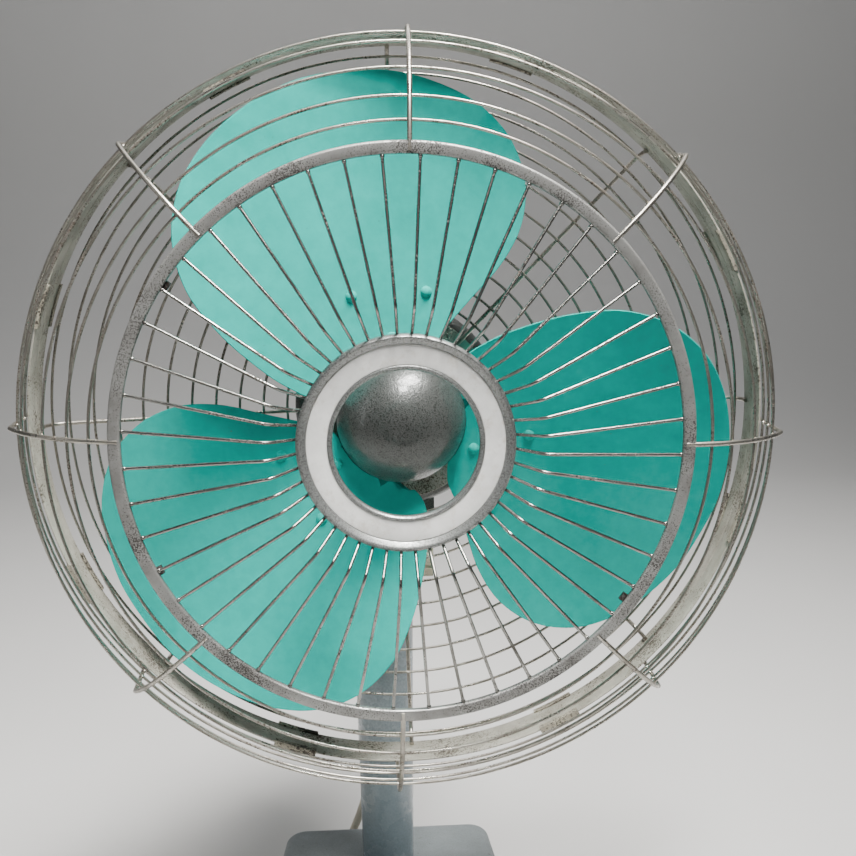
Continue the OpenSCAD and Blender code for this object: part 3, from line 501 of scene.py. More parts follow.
# ------------------------------------------------------------------ mains lead
LEAD = [(-25.7, 76.7, 98), (-26.4, 82.5, 97.4), (-26.9, 88, 94.2), (-27.1, 92, 87.5), (-27.2, 94.6, 78.5),
        (-27.4, 96.1, 67.5), (-28.4, 97, 56.5), (-31.6, 97.5, 46), (-36, 98.3, 34), (-41, 99.8, 22),
        (-47, 101.6, 11.9), (-54.6, 103, 5.8), (-64, 103.5, 3.2), (-75, 101.5, 3.1), (-86, 97, 3.1),
        (-95.5, 89.5, 3.1), (-103, 80, 3.1), (-108, 68.5, 3.1), (-110.3, 56, 3.1), (-110.5, 44, 3.1),
        (-110.5, 32, 3.1)]
CORD_R = 3.0
COIL = Vector((-156, 20))
TURNS, PITCH, R_OUT = 3.125, 6.12, 45.4     # turns in a layer, their pitch and the outer radius
REST_Z, LAYER = 3.1, 6.25                   # height of the lower layer, and from it to the upper one
PLUG_X, PLUG_Z = -0.193, 0.0064
PIN_X = 0.00635                             # from the plug's middle to each pin


def coil_points():
    """Three turns inwards on the table, then three turns outwards on top of them."""
    pts, n = [], int(TURNS * 2 * 24)
    for i in range(n + 1):
        u = i / n * 2 * TURNS
        a = -math.tau * u
        r = R_OUT - PITCH * u if u <= TURNS else R_OUT - PITCH * (2 * TURNS - u)
        s = min(max((u - TURNS + 0.15) / 0.3, 0), 1)
        s = s * s * (3 - 2 * s)
        pts.append((COIL.x + r * math.cos(a), COIL.y + r * math.sin(a), REST_Z + LAYER * s))
    return pts


def make_cord():
    coil = coil_points()
    ex, ey, _ = coil[-1]
    tail = [(ex - 12, ey - 0.5, 8.4), (-178, ey - 3, 6.2), (-187, ey - 9, 5.2), (-192, ey - 17, 5.6),
            (-193, -52, 6.4)]
    pts = [Vector(p) * MM for p in catmull(LEAD + coil[0:1], 3)[:-1]]
    pts += [Vector(p) * MM for p in coil]
    pts += [Vector(p) * MM for p in catmull([coil[-1]] + tail, 4)[1:]]
    total = sum((b - a).length for a, b in zip(pts, pts[1:]))
    ob = curve_object("mains_lead", [pts], CORD_R, res=6)
    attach(ob, "stand")
    ob.data.materials.append(CORD)
    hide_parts("cord_lead", "cord_coil")
    # moulded two-pin plug with a ribbed strain relief
    relief = tube_stack("plug_relief", Vector((PLUG_X, -0.052, PLUG_Z)), Vector((0, -1, 0)),
                        [(3.2, 0), (3.6, 2), (3.3, 3), (3.9, 5), (3.5, 6), (4.2, 8), (3.8, 9), (4.5, 11),
                         (4.1, 12), (4.9, 14), (4.4, 15), (5.3, 17.5), (5.6, 19)])
    body = box_object("plug_body", (PLUG_X, -0.0825, PLUG_Z), (0.021, 0.025, 0.0125))
    taper(body, 1, 0.78)
    pins = [box_object("plug_pin_%d" % i, (PLUG_X + s * PIN_X, -0.1035, PLUG_Z), (0.0015, 0.0180, 0.0060))
            for i, s in enumerate((-1, 1))]
    for ob2 in (relief, body):
        bevel(ob2, 1.6 if ob2 is body else 0.3, 4)
        place(ob2, "stand", "ivory_cord", CORD)
    for p in pins:
        bevel(p, 0.4, 2)
        place(p, "stand", "steel", STEEL)
    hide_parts("cord_plug")
    # tie around the coil
    c = COIL * MM
    tie_path = [Vector((c.x - 0.0345 + 0.0135 * math.cos(a), c.y, 0.0064 + 0.0075 * math.sin(a)))
                for a in (math.tau * k / 32 for k in range(32))]
    tie_path = [Vector((p.x, p.y, max(p.z, 0.0009))) for p in tie_path]
    tie = curve_object("coil_tie", [tie_path], 0.8, True, 3)
    place(tie, "stand", "black_plastic", BLACK)
    gland_dir = Vector((-math.sin(math.radians(20)), math.cos(math.radians(20)), 0))
    start = COL + Vector((0, 0, 0.098))
    gland = tube_stack("lead_gland", start + gland_dir * 0.0182, gland_dir,
                       [(6.4, 0), (6.5, 0.8), (6.3, 2.2), (4.9, 2.8), (4.9, 5), (4.5, 5.6), (4.7, 8), (4.2, 8.6),
                        (4.4, 11), (3.9, 11.6), (4.1, 14), (3.7, 14.6), (3.8, 17.5), (3.5, 20.5), (3.2, 21.8)])
    bevel(gland, 0.3, 2)
    place(gland, "stand", "ivory_cord", CORD, "cord_gland")
    return total


def tube_stack(name, origin, direction, rings, segs=40):
    """A turned piece: rings of (radius, distance) in mm along a direction, closed at both ends."""
    z = direction.normalized()
    x = z.cross(Vector((0, 0, 1)))
    x = x.normalized() if x.length > 1e-3 else Vector((1, 0, 0))
    y = z.cross(x)
    verts, faces = [], []
    for r, d in rings:
        for k in range(segs):
            a = math.tau * k / segs
            verts.append(origin + z * d * MM + (x * math.cos(a) + y * math.sin(a)) * r * MM)
    for i in range(len(rings) - 1):
        for k in range(segs):
            l = (k + 1) % segs
            faces.append((i * segs + k, i * segs + l, (i + 1) * segs + l, (i + 1) * segs + k))
    faces.append(tuple(range(segs))[::-1])
    faces.append(tuple(range((len(rings) - 1) * segs, len(rings) * segs)))
    return smooth(recalc(mesh_object(name, verts, faces)), 50)


def box_object(name, centre, size):
    c, s = Vector(centre), Vector(size) / 2
    verts = [c + Vector((x * s.x, y * s.y, z * s.z)) for x in (-1, 1) for y in (-1, 1) for z in (-1, 1)]
    faces = [(0, 1, 3, 2), (4, 6, 7, 5), (0, 4, 5, 1), (2, 3, 7, 6), (0, 2, 6, 4), (1, 5, 7, 3)]
    return smooth(recalc(mesh_object(name, verts, faces)), 30)


def taper(ob, axis, keep):
    """Narrows the end of a box that lies furthest along an axis."""
    co = [v.co.copy() for v in ob.data.vertices]
    hi = max(c[axis] for c in co)
    mid = sum(co, Vector()) / len(co)
    for v in ob.data.vertices:
        if v.co[axis] > hi - 1e-6:
            for k in range(3):
                if k != axis:
                    v.co[k] = mid[k] + (v.co[k] - mid[k]) * keep


CORD_MADE = make_cord()

# ------------------------------------------------------------------ rotor
BLADE = [(193.5, -12), (193, 12), (186.5, 35), (174.5, 57), (155, 74), (130, 81.5), (105, 78), (84, 65.5),
         (66, 47.5), (52, 33.5), (42, 24), (34, 6), (24, -18), (16, -42), (24, -61), (39, -79.5), (57, -96.5),
         (79, -110.5), (105, -115.5), (131, -110), (153, -96), (170, -77.5), (182.5, -57), (190.5, -35)]
BLADE_D, ROOT_R = 78, 40                    # depth of the blade plane, and the circle that ends the root
PITCH_DEG, LEAN_DEG, PHASE = 12.4, 3.4, -3.0
CAMBER, SAG, MID_Y, SHEET = 420.0, 11.2, -16.0, 1.2
CUTS_Y, CUTS_X, FINE_CUTS_Y = range(-112, 84, 6), range(30, 192, 12), range(-112, 84, 8)
EDGE = ((0.0, 0.0), (0.18, 0.30), (0.5, 0.42), (0.82, 0.30), (1.0, 0.0))    # share of the sheet, bulge
RIVETS = [(71, -21), (71, 22), (46.5, 0.5)]


def camber(y, extra=0.0):
    r = CAMBER + extra
    return SAG - CAMBER + math.sqrt(r * r - (y - MID_Y) ** 2)


def blade_point(i, x, y, z):
    """A point of blade i: x outwards, y clockwise, z to the rear, in mm."""
    q, ln = math.radians(PITCH_DEG), math.radians(LEAN_DEG)
    y, z = y * math.cos(q) - z * math.sin(q), y * math.sin(q) + z * math.cos(q)
    x, z = x * math.cos(ln) - z * math.sin(ln), x * math.sin(ln) + z * math.cos(ln)
    r = math.hypot(x, y)
    return P(r, PHASE + 120 * i + math.degrees(math.atan2(y, x)), BLADE_D + z)


def sheet_normal(i, x, y):
    o = blade_point(i, x, y, camber(y))
    u = blade_point(i, x + 0.5, y, camber(y)) - o
    v = blade_point(i, x, y + 0.5, camber(y + 0.5)) - o
    n = u.cross(v).normalized()
    return -n if n.y > 0 else n


def slices(bm, axis, cuts):
    """Cuts a flat mesh across an axis at each distance, so that it can take a curve."""
    square = Vector((0, 0, 0))
    square[axis] = 1
    for k in cuts:
        bmesh.ops.bisect_plane(bm, geom=bm.verts[:] + bm.edges[:] + bm.faces[:], plane_co=square * k,
                               plane_no=square, dist=1e-5)


def make_blade(i):
    outline = catmull([Vector((x, y, 0)) for x, y in BLADE], 8, True)
    # the root is cut back to a circle about the shaft
    cut = []
    for p in outline:
        r = math.hypot(p.x, p.y)
        cut.append(p if r > ROOT_R else p * (ROOT_R / r))
    bm = bmesh.new()
    face = bm.faces.new([bm.verts.new(p) for p in cut])
    bmesh.ops.triangulate(bm, faces=[face])
    slices(bm, 1, CUTS_Y)
    slices(bm, 0, CUTS_X)
    bmesh.ops.remove_doubles(bm, verts=bm.verts, dist=0.02)
    bmesh.ops.dissolve_limit(bm, angle_limit=0.001, verts=bm.verts, edges=[e for e in bm.edges if not e.is_boundary])
    bmesh.ops.triangulate(bm, faces=bm.faces, quad_method="BEAUTY", ngon_method="BEAUTY")
    slices(bm, 1, FINE_CUTS_Y)
    bmesh.ops.remove_doubles(bm, verts=bm.verts, dist=0.02)
    bmesh.ops.recalc_face_normals(bm, faces=bm.faces)
    # front and rear skins, joined by a rounded edge
    verts = [v.co.copy() for v in bm.verts]
    index = {v: k for k, v in enumerate(bm.verts)}
    up = bm.faces[0].normal.z > 0
    faces = [[index[v] for v in f.verts] for f in bm.faces]
    rim = {}
    for e in bm.edges:
        if e.is_boundary:
            loop = e.link_loops[0]
            rim[index[loop.vert]] = index[loop.link_loop_next.vert]
    bm.free()
    n = len(verts)
    start = next(iter(rim))
    loop, k = [start], rim[start]
    while k != start:
        loop.append(k)
        k = rim[k]
    m = len(loop)
    inward = []
    for j in range(m):
        a, b = verts[loop[j - 1]], verts[loop[(j + 1) % m]]
        t = (b - a).normalized()
        nrm = Vector((-t.y, t.x, 0)) if up else Vector((t.y, -t.x, 0))
        inward.append(nrm)
    pts = [blade_point(i, v.x, v.y, camber(v.y)) for v in verts]
    pts += [blade_point(i, v.x, v.y, camber(v.y, SHEET)) for v in verts]
    out = [f if not up else f[::-1] for f in faces] + [[k + n for k in (f[::-1] if not up else f)] for f in faces]
    normals = [sheet_normal(i, v.x, v.y) for v in verts]
    normals += [-v for v in normals]
    ring_sets = []
    for f, off in EDGE:
        if off == 0.0:
            ring_sets.append([loop[j] + (n if f == 1.0 else 0) for j in range(m)])
            continue
        base = len(pts)
        for j in range(m):
            v = verts[loop[j]] - inward[j] * off
            pts.append(blade_point(i, v.x, v.y, camber(v.y, SHEET * f)))
            away = blade_point(i, v.x, v.y, camber(v.y)) - blade_point(i, *(verts[loop[j]] + inward[j]).xy,
                                                                       camber(v.y))
            normals.append((away.normalized() + sheet_normal(i, v.x, v.y) * (1 - 2 * f)).normalized())
        ring_sets.append([base + j for j in range(m)])
    for a, b in zip(ring_sets, ring_sets[1:]):
        for j in range(m):
            l = (j + 1) % m
            out.append([a[j], b[j], b[l], a[l]])
    ob = mesh_object("blade_%d_sheet" % (i + 1), pts, out)
    bm = bmesh.new()
    bm.from_mesh(ob.data)
    bmesh.ops.recalc_face_normals(bm, faces=bm.faces)
    bm.to_mesh(ob.data)
    bm.free()
    for poly in ob.data.polygons:
        poly.use_smooth = True
    ob.data.normals_split_custom_set_from_vertices([tuple(v) for v in normals])
    place(ob, "rotor", "teal_paint", TEAL, "blade_%d" % (i + 1))


def make_rivets():
    obs = []
    for i in range(3):
        for x, y in RIVETS:
            z0 = camber(y)
            o = blade_point(i, x, y, z0)
            d = (blade_point(i, x, y, z0 - 1) - o).normalized()
            dome = [(3.3 * math.cos(a), 2.5 * math.sin(a)) for a in (math.radians(t) for t in range(0, 90, 10))]
            rings = [(3.45, -0.3)] + [(max(r, 0.05), h) for r, h in dome] + [(0.05, 2.5)]
            obs.append(tube_stack("rivet", o, d, rings, 32))
            rear = blade_point(i, x, y, camber(y, SHEET + 2.6))
            obs.append(tube_stack("rivet", rear, -d, [(2.7, 0), (2.7, 0.9), (2.2, 1.4), (0.05, 1.5)], 24))
    ob = join("blade_rivet_heads", obs)
    smooth(recalc(ob), 50)
    place(ob, "rotor", "teal_paint", TEAL, "blade_rivets")


def make_dome():
    r0, d0, d1, wall = 37.0, 54.0, 88.0, 1.5
    R = (r0 * r0 + (d1 - d0) ** 2) / (2 * (d1 - d0))
    outer = []
    for k in range(41):
        a = math.asin(r0 / R) * k / 40 if R > (d1 - d0) else math.pi / 2 * k / 40
        outer.append((R * math.sin(a), d0 + R * (1 - math.cos(a))))
    inner = [(max(r - wall, 0.0), d + wall * 0.9) for r, d in outer][::-1]
    lip = [(r0 + 0.25, d1 - 0.6), (r0 + 0.25, d1), (r0 - 0.9, d1 + 0.2)]
    ob = lathe("hub_dome_cap", outer + lip + inner[1:], 160)
    smooth(ob, 40)
    place(ob, "rotor", "hammertone", HAMMER, "hub_dome")


for b in range(3):
    make_blade(b)
make_rivets()
make_dome()


# ------------------------------------------------------------------ front guard
RIB = (139.5, 4.5)                          # radius and depth where a rib starts
RIB_R, WIRE_R, SPOKE_R = 1.25, 0.8, 0.83
RIB_CLOCK = range(0, 360, 45)
ARC, HEAD, KNEE, SIDE, KNEE_R = 80.0, 4.0, 60.0, 82.0, 6.0      # arc radius, three headings, knee radius
FRONT_TURN, REAR_TURN = 1.6, -1.0           # turn of each set of ribs, degrees
SUNK = 0.25                                 # how far welded wires sink into each other
SPOKES = 48
HOOP_R, HOOP_WALL, HOOP_W = 208.2, 1.2, 12
HOOP_D, REAR_HOOP_D = 87.0, 99.3
CLIP_AT, CLIP_SPAN = 18.7, 7.0              # clock angle of the first clip, and what each spans
TAB_CLOCK = (127.0, 243.5, 304.8)


def rib_point(h):
    a, s = math.radians(h), math.radians(HEAD)
    return Vector((RIB[0] + ARC * (math.sin(a) - math.sin(s)), RIB[1] + ARC * (math.cos(s) - math.cos(a))))


def knee_point(h):
    a, s = math.radians(h), math.radians(KNEE)
    return rib_point(KNEE) + KNEE_R * Vector((math.sin(a) - math.sin(s), math.cos(s) - math.cos(a)))


def normal(h):
    a = math.radians(h)
    return Vector((-math.sin(a), math.cos(a)))


END = knee_point(SIDE)
SIDE_LEN = (HOOP_D + HOOP_W / 2 - END.y) / math.sin(math.radians(SIDE))
ALONG = Vector((math.cos(math.radians(SIDE)), math.sin(math.radians(SIDE))))
TOUCH = RIB_R + WIRE_R - SUNK


def rib_path():
    pts = [rib_point(HEAD + (KNEE - HEAD) * k / 20) for k in range(21)]
    pts += [knee_point(KNEE + (SIDE - KNEE) * k / 6) for k in range(1, 7)]
    pts += [END + ALONG * (SIDE_LEN * k / 6) for k in range(1, 7)]
    return pts


def make_front_ribs():
    path = rib_path()
    ob = curve_object("front_rib_wires", [[P(p.x, a + FRONT_TURN, p.y) for p in path] for a in RIB_CLOCK],
                      RIB_R, res=6)
    place(ob, "head", "wire_chrome", CHROME, "front_guard_ribs")


def ring_path(r, d, n=240, k=0):
    """A wire ring with the slight waviness that a rolled and welded wire has."""
    out = []
    for i in range(n):
        c = 360 * i / n
        w = 0.16 * math.sin(math.radians(c * 3 + 50 * k)) + 0.10 * math.sin(math.radians(c * 8 + 31 * k))
        out.append(P(r + w, c, d + 0.15 * math.sin(math.radians(c * 5 + 77 * k))))
    return out


def make_front_wires():
    spots = [rib_point(h) + TOUCH * normal(h) for h in (15, 24, 36, 51)]
    spots += [END + ALONG * s + TOUCH * normal(SIDE) for s in (10.3, 21.4, 32.5)]
    ob = curve_object("front_ring_wires", [ring_path(p.x, p.y, 240, k) for k, p in enumerate(spots)],
                      WIRE_R, True, 5)
    place(ob, "head", "wire_chrome", CHROME, "front_guard_wires")
    # weld beads where wires meet ribs
    beads = []
    for k, p in enumerate(spots):
        for a in RIB_CLOCK:
            beads.append(blob(P(p.x + 0.1, a + FRONT_TURN, p.y - 0.3), 1.1, 1.0))
    ob = join("guard_weld_beads", beads)
    smooth(ob, 80)
    place(ob, "head", "wire_chrome", CHROME)


def blob(centre, r, flat=1.0, u=10, v=7):
    verts, faces = [centre + Vector((0, -r * MM * flat, 0))], []
    for i in range(1, v):
        t = math.pi * i / v
        for j in range(u):
            a = math.tau * j / u
            out = Vector((math.sin(t) * math.cos(a), -math.cos(t) * flat, math.sin(t) * math.sin(a)))
            verts.append(centre + out * r * MM)
    verts.append(centre + Vector((0, r * MM * flat, 0)))
    for j in range(u):
        faces.append((0, 1 + j, 1 + (j + 1) % u))
        faces.append((len(verts) - 1, 1 + (v - 2) * u + (j + 1) % u, 1 + (v - 2) * u + j))
    for i in range(v - 2):
        for j in range(u):
            k = (j + 1) % u
            faces.append((1 + i * u + j, 1 + (i + 1) * u + j, 1 + (i + 1) * u + k, 1 + i * u + k))
    return mesh_object("blob", verts, faces)


def make_spokes():
    start, kink, end = (51.6, 5.6), (67.0, -9.7), (138.4, 5.6)
    bend = 7.0
    paths, beads = [], []
    for i in range(SPOKES):
        a = (i + 0.5) * 360 / SPOKES
        line = fillet([start, (kink[0] + wobble(i, 1) * 0.5, kink[1] + wobble(i, 2) * 0.25), end], [bend])
        da = 0.18 * wobble(i, 3)
        path = []
        for p in line:
            w = (p.x - start[0]) / (end[0] - start[0])
            path.append(P(p.x, a + da * w + 0.12 * wobble(i, 5) * math.sin(math.pi * w), p.y))
        paths.append(path)
        beads.append(blob(P(137.4, a + da, 5.3), 1.25, 0.9))
    ob = curve_object("front_spoke_wires", paths, SPOKE_R, res=5)
    place(ob, "head", "wire_chrome", SPOKE, "front_spokes")
    ob = join("spoke_weld_beads", beads)
    smooth(ob, 80)
    place(ob, "head", "wire_chrome", SPOKE)


def make_flat_ring():
    r1, w, d, t = 144.6, 6.4, 3.8, 3.4
    prof = rounded([(r1 - w, d), (r1, d), (r1, d + t), (r1 - w, d + t)], [1.5, 1.5, 0.8, 0.8], 5)
    ob = lathe("spoke_ring", prof, 288)
    smooth(ob, 40)
    place(ob, "head", "aged_steel", PITTED, "flat_ring")
    tabs = []
    for a in TAB_CLOCK:
        tabs.append(lathe("tab", rounded([(135.9, 6.0), (139.0, 6.0), (139.0, 9.0), (135.9, 9.0)], [0.6] * 4, 3),
                          10, a - 0.9, 1.8))
    ob = join("ring_tabs", tabs)
    smooth(recalc(ob), 35)
    place(ob, "head", "aged_steel", TAB)


def make_badge():
    prof = rounded([(36.3, 6.2), (36.3, 3.3), (37.4, 1.9), (38.75, 2.5), (38.75, 4.5), (49.1, 4.5), (49.1, 2.2),
                    (51.4, 0.6), (52.6, 0.0), (54.0, 1.9), (54.0, 9.0), (52.8, 9.0), (52.8, 6.2)],
                   [0.3, 0.9, 0.9, 0.4, 0.1, 0.1, 0.6, 1.0, 0.9, 1.3, 0.4, 0.4, 0.3], 4)
    ob = lathe("badge_bezel", prof, 192)
    smooth(ob, 50)
    place(ob, "head", "silver_hammertone", SILVER, "badge_ring")
    prof = rounded([(38.8, 2.9), (49.05, 2.9), (49.05, 4.5), (38.8, 4.5)], [0.45, 0.45, 0, 0], 4)
    ob = lathe("badge_plate", prof, 192)
    smooth(ob, 50)
    place(ob, "head", "pearl_plate", PEARL, "badge_inlay")


def make_hoops():
    r, w = HOOP_R, HOOP_WALL
    for name, d, node in (("front_rim_hoop", HOOP_D, "front_hoop"), ("rear_rim_hoop", REAR_HOOP_D, "rear_hoop")):
        prof = rounded([(r - w, d), (r, d), (r, d + HOOP_W), (r - w, d + HOOP_W)], [0.5] * 4, 3)
        ob = lathe(name, prof, 288)
        smooth(ob, 45)
        place(ob, "head", "hoop_paint", HOOP, node)


def make_clips():
    r, w, d0, d1 = HOOP_R, HOOP_WALL, HOOP_D, REAR_HOOP_D + HOOP_W
    prof = [(r - w - 1.1, d0 - 1.2), (r + 1.2, d0 - 1.2), (r + 1.2, d1 + 1.2), (r - w - 1.1, d1 + 1.2),
            (r - w - 1.1, d1 - 2.5), (r - w - 0.05, d1 - 2.5), (r - w - 0.05, d1 + 0.1), (r + 0.05, d1 + 0.1),
            (r + 0.05, d0 - 0.1), (r - w - 0.05, d0 - 0.1), (r - w - 0.05, d0 + 2.5), (r - w - 1.1, d0 + 2.5)]
    obs = [lathe("clip", prof, 8, CLIP_AT + a - CLIP_SPAN / 2, CLIP_SPAN) for a in RIB_CLOCK]
    ob = join("rim_clips", obs)
    smooth(recalc(ob), 35)
    bevel(ob, 0.25, 2, 50)
    place(ob, "head", "aged_steel", CLIP, "guard_clips")


make_spokes()
make_flat_ring()
make_front_ribs()
make_front_wires()
make_badge()
make_hoops()
make_clips()


# ------------------------------------------------------------------ rear guard
SLOPE = -6.6                                # of the ribs, towards the front, degrees
MOUNT_D, MOUNT_T = 141, 2                   # depth of the mounting plate's rear face, and its thickness
INNER_R, STRAIGHT, BEND_R = 46.0, 150.4, 12


def rear_depth(r):
    return MOUNT_D - RIB_R - MOUNT_T + (r - INNER_R) * math.tan(math.radians(SLOPE))


def make_rear_guard():
    a0, a1 = math.radians(SLOPE), math.radians(-90)
    start = Vector((INNER_R, rear_depth(INNER_R)))
    u = Vector((math.cos(a0), math.sin(a0)))
    c = start + u * STRAIGHT + BEND_R * Vector((math.sin(a0), -math.cos(a0)))
    pts = [start + u * STRAIGHT * k / 12 for k in range(13)]
    for k in range(1, 11):
        a = a0 + (a1 - a0) * k / 10
        pts.append(c + BEND_R * Vector((-math.sin(a), math.cos(a))))
    pts.append(pts[-1] + Vector((0, -3)))
    paths = [[P(p.x, a + REAR_TURN, p.y) for p in pts] for a in RIB_CLOCK]
    ribs = curve_object("rear_rib_wires", paths, RIB_R, res=5)
    place(ribs, "head", "wire_chrome", CHROME, "rear_guard_ribs")
    rings = [ring_path(r, rear_depth(r) - RIB_R - WIRE_R + SUNK, 200, r) for r in range(68, 195, 14)]
    rings.append(ring_path(202, 112.4, 200, 7))
    wires = curve_object("rear_ring_wires", rings, WIRE_R, True, 4)
    place(wires, "head", "wire_chrome", CHROME, "rear_guard_wires")


make_rear_guard()


# ------------------------------------------------------------------ base shell
def make_base():
    cx, half_r, half_f = -12.0, 73.0, 86.0      # middle, and half widths at the rear and front
    length, height = 215, 43
    y0, y1 = -MID / MM, length - MID / MM
    cr = 14.0                                   # corner radius seen from above

    def outline(grow, seg=10):
        pts = []
        corners = [(cx - half_r + cr, y1 - cr, 90), (cx - half_f + cr, y0 + cr, 180),
                   (cx + half_f - cr, y0 + cr, 270), (cx + half_r - cr, y1 - cr, 0)]
        for x, y, a in corners:
            for k in range(seg + 1):
                t = math.radians(a + 90 * k / seg)
                pts.append((x + (cr + grow) * math.cos(t), y + (cr + grow) * math.sin(t)))
        return pts

    sections = [(5.0, 4.0), (5.0, 4.8), (4.1, 11), (2.6, 20), (1.2, 29)]
    edge = 6.0                                  # radius of the top edge
    for k in range(10):
        a = math.radians(90 * k / 9)
        sections.append((-edge + edge * math.cos(a) + 0.35 * (1 - k / 9), height - edge + edge * math.sin(a)))
    for g in (-6.8, -8.5):
        sections.append((g, height))
    verts, faces = [], []
    n = len(outline(0))
    for g, z in sections:
        verts += [Vector((x, y, z)) * MM for x, y in outline(g)]
    for i in range(len(sections) - 1):
        for k in range(n):
            l = (k + 1) % n
            faces.append((i * n + k, i * n + l, (i + 1) * n + l, (i + 1) * n + k))
    top = list(range((len(sections) - 1) * n, len(sections) * n))
    # underside: the pressed wall turned in
    inner = [(1.9, 4.0), (1.9, 30), (-9, 40)]
    base_i = len(verts)
    for g, z in inner:
        verts += [Vector((x, y, z)) * MM for x, y in outline(g)]
    for k in range(n):
        l = (k + 1) % n
        faces.append((l, k, base_i + k, base_i + l))
    for i in range(len(inner) - 1):
        for k in range(n):
            l = (k + 1) % n
            faces.append((base_i + i * n + l, base_i + i * n + k, base_i + (i + 1) * n + k, base_i + (i + 1) * n + l))
    roof = list(range(base_i + 2 * n, base_i + 3 * n))
    ob = mesh_object("base_cover", verts, faces)
    bm = bmesh.new()
    bm.from_mesh(ob.data)
    by, bx = -104 * MM, cx * MM
    sx, sy = 51, 8                              # half sizes of the slot for the buttons

    def cap(loop, z):
        """Fills a loop and leaves the slot for the buttons open."""
        bm.verts.ensure_lookup_table()
        outer = [bm.verts[k] for k in loop]
        hole = [bm.verts.new((bx + x * MM, by + y * MM, z)) for x, y in
                ((-sx, -sy), (sx, -sy), (sx, sy), (-sx, sy))]
        edges = []
        for ring in (outer, hole):
            for a, b in zip(ring, ring[1:] + ring[:1]):
                e = bm.edges.get((a, b)) or bm.edges.new((a, b))
                edges.append(e)
        bmesh.ops.triangle_fill(bm, edges=edges, use_beauty=True)
        return hole

    h1 = cap(top, height * MM)
    h2 = cap(roof, 40 * MM)
    for k in range(4):
        l = (k + 1) % 4
        bm.faces.new((h1[k], h1[l], h2[l], h2[k]))
    bmesh.ops.recalc_face_normals(bm, faces=bm.faces)
    bm.to_mesh(ob.data)
    bm.free()
    smooth(ob, 32)
    place(ob, "stand", "base_paint", BASE, "base_shell")


make_base()

# ------------------------------------------------------------------ CAD nodes that keep their shape
FINISH = {
    "base_plate": (ZINC, 0.3), "base_feet": (RUBBER, 0.6), "base_screws": (STEEL, 0.3), "ballast": (IRON, 1.0),
    "switch_block": (BLACK, 0.5), "button_bezel": (CHROME, 0.6), "button_off": (RED, 0.7),
    "button_low": (IVORY, 0.7), "button_medium": (IVORY, 0.7), "button_high": (IVORY, 0.7),
    "column_foot": (ZINC, 0.4), "column": (COLUMN, 0.3), "neck_socket": (COLUMN, 0.8), "tilt_pin": (STEEL, 0.5),
    "tilt_knob": (IVORY, 0.8), "tilt_yoke": (COLUMN, 0.8), "pivot_post": (STEEL, 0.3),
    "thrust_washer": (BRONZE, 0.1), "oscillation_link": (ZINC, 0.5), "swivel_bracket": (HAMMER, 1.2),
    "motor_front_shell": (HAMMER, 1.0), "motor_rear_cover": (HAMMER, 0.6), "stator_core": (LAMINATED, 0.2),
    "stator_windings": (COPPER, 1.5), "front_bearing": (BRONZE, 0.3), "rear_bearing": (BRONZE, 0.3),
    "rear_bearing_bracket": (ZINC, 0.4), "gear_case": (ZINC, 0.5), "gear_case_lid": (ZINC, 0.3),
    "worm_wheel": (BRONZE, 0.08), "crank_gear": (STEEL, 0.08), "oscillation_knob": (BLACK, 0.7),
    "motor_shaft": (STEEL, 0.2), "rotor_core": (LAMINATED, 0.2), "blade_spider": (TAB, 0.4),
    "spider_set_screw": (STEEL, 0.1), "rear_guard_mount": (CHROME, 0.3), "rear_guard_screws": (STEEL, 0.3),
}


def finish_nodes():
    for name, (mat, width) in FINISH.items():
        ob = nodes[name]
        ob.data.materials.clear()
        ob.data.materials.append(mat)
        weld = ob.modifiers.new("weld", "WELD")
        weld.merge_threshold = 0.00001
        if width:
            bevel(ob, width, 3, 38)
        for p in ob.data.polygons:
            p.use_smooth = True
            p.material_index = 0
        tidy = ob.modifiers.new("normals", "WEIGHTED_NORMAL")
        tidy.keep_sharp = True
        tidy.weight = 60


finish_nodes()


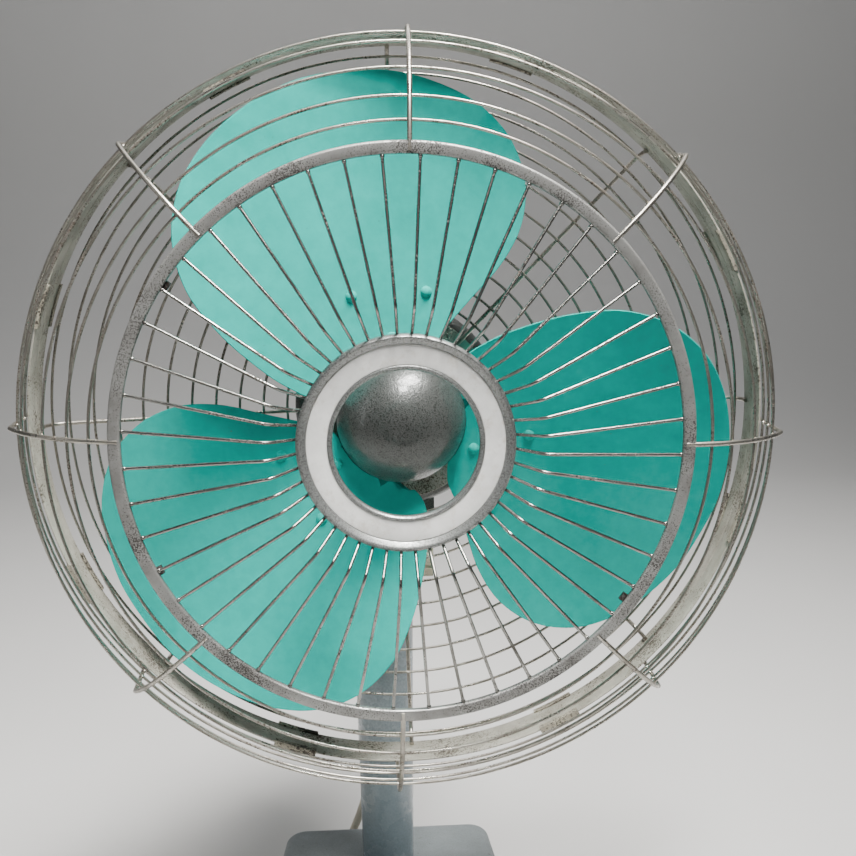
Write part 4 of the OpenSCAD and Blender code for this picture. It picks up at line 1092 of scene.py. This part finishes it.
# ------------------------------------------------------------------ floor and light
def make_stage():
    bend_y, bend_r, half_w, gap = 1.5, 0.8, 12, 0.0002     # gap keeps the floor just below the feet
    prof = []
    for k in range(13):
        a = math.radians(90 * k / 12)
        prof.append((bend_y + bend_r * math.sin(a), bend_r * (1 - math.cos(a))))
    prof = [(-10.0, 0.0), (1.0, 0.0)] + prof + [(bend_y + bend_r, 4.5)]
    verts = [Vector((x, y, z - gap)) for y, z in prof for x in (-half_w, half_w)]
    faces = [(2 * i, 2 * i + 1, 2 * i + 3, 2 * i + 2) for i in range(len(prof) - 1)]
    ob = mesh_object("studio_floor", verts, faces)
    smooth(ob, 60)
    m = Mat("studio_sweep", (0.46, 0.455, 0.445), 0.75)
    m.rough(m.ramp(m.noise(6, 3, 0.5), [(0.3, 0.62), (0.7, 0.8)]))
    ob.data.materials.append(m.m)


def area(name, loc, target, size, power, color=(1, 1, 1), spread=180):
    data = bpy.data.lights.new(name, "AREA")
    data.spread = math.radians(spread)
    data.shape, data.size, data.size_y = "RECTANGLE", size[0], size[1]
    data.energy, data.color = power, color
    ob = link(name, data)
    ob.location = loc
    ob.rotation_euler = (Vector(target) - Vector(loc)).to_track_quat("-Z", "Y").to_euler()


def make_light():
    world = bpy.data.worlds.new("studio")
    SC.world = world
    world.use_nodes = True
    bg = world.node_tree.nodes["Background"]
    bg.inputs["Color"].default_value = (0.80, 0.83, 0.86, 1)
    bg.inputs["Strength"].default_value = 0.18
    area("key_softbox", (0.36, -0.42, 1.98), (0, 0.0, 0.40), (0.9, 0.5), 29, (1.0, 0.985, 0.96), 85)
    area("front_softbox", (0.10, -0.95, 1.85), (0, 0, 0.40), (0.4, 0.3), 3.5, (1.0, 0.99, 0.97), 60)
    area("side_strip", (-1.7, -0.6, 0.7), (0, 0, 0.3), (0.3, 1.2), 2, (1, 1, 1))
    area("sweep_light", (0.0, 0.9, 1.9), (0, 1.6, 0.4), (2.4, 0.6), 22, (1, 1, 1))


make_stage()
make_light()
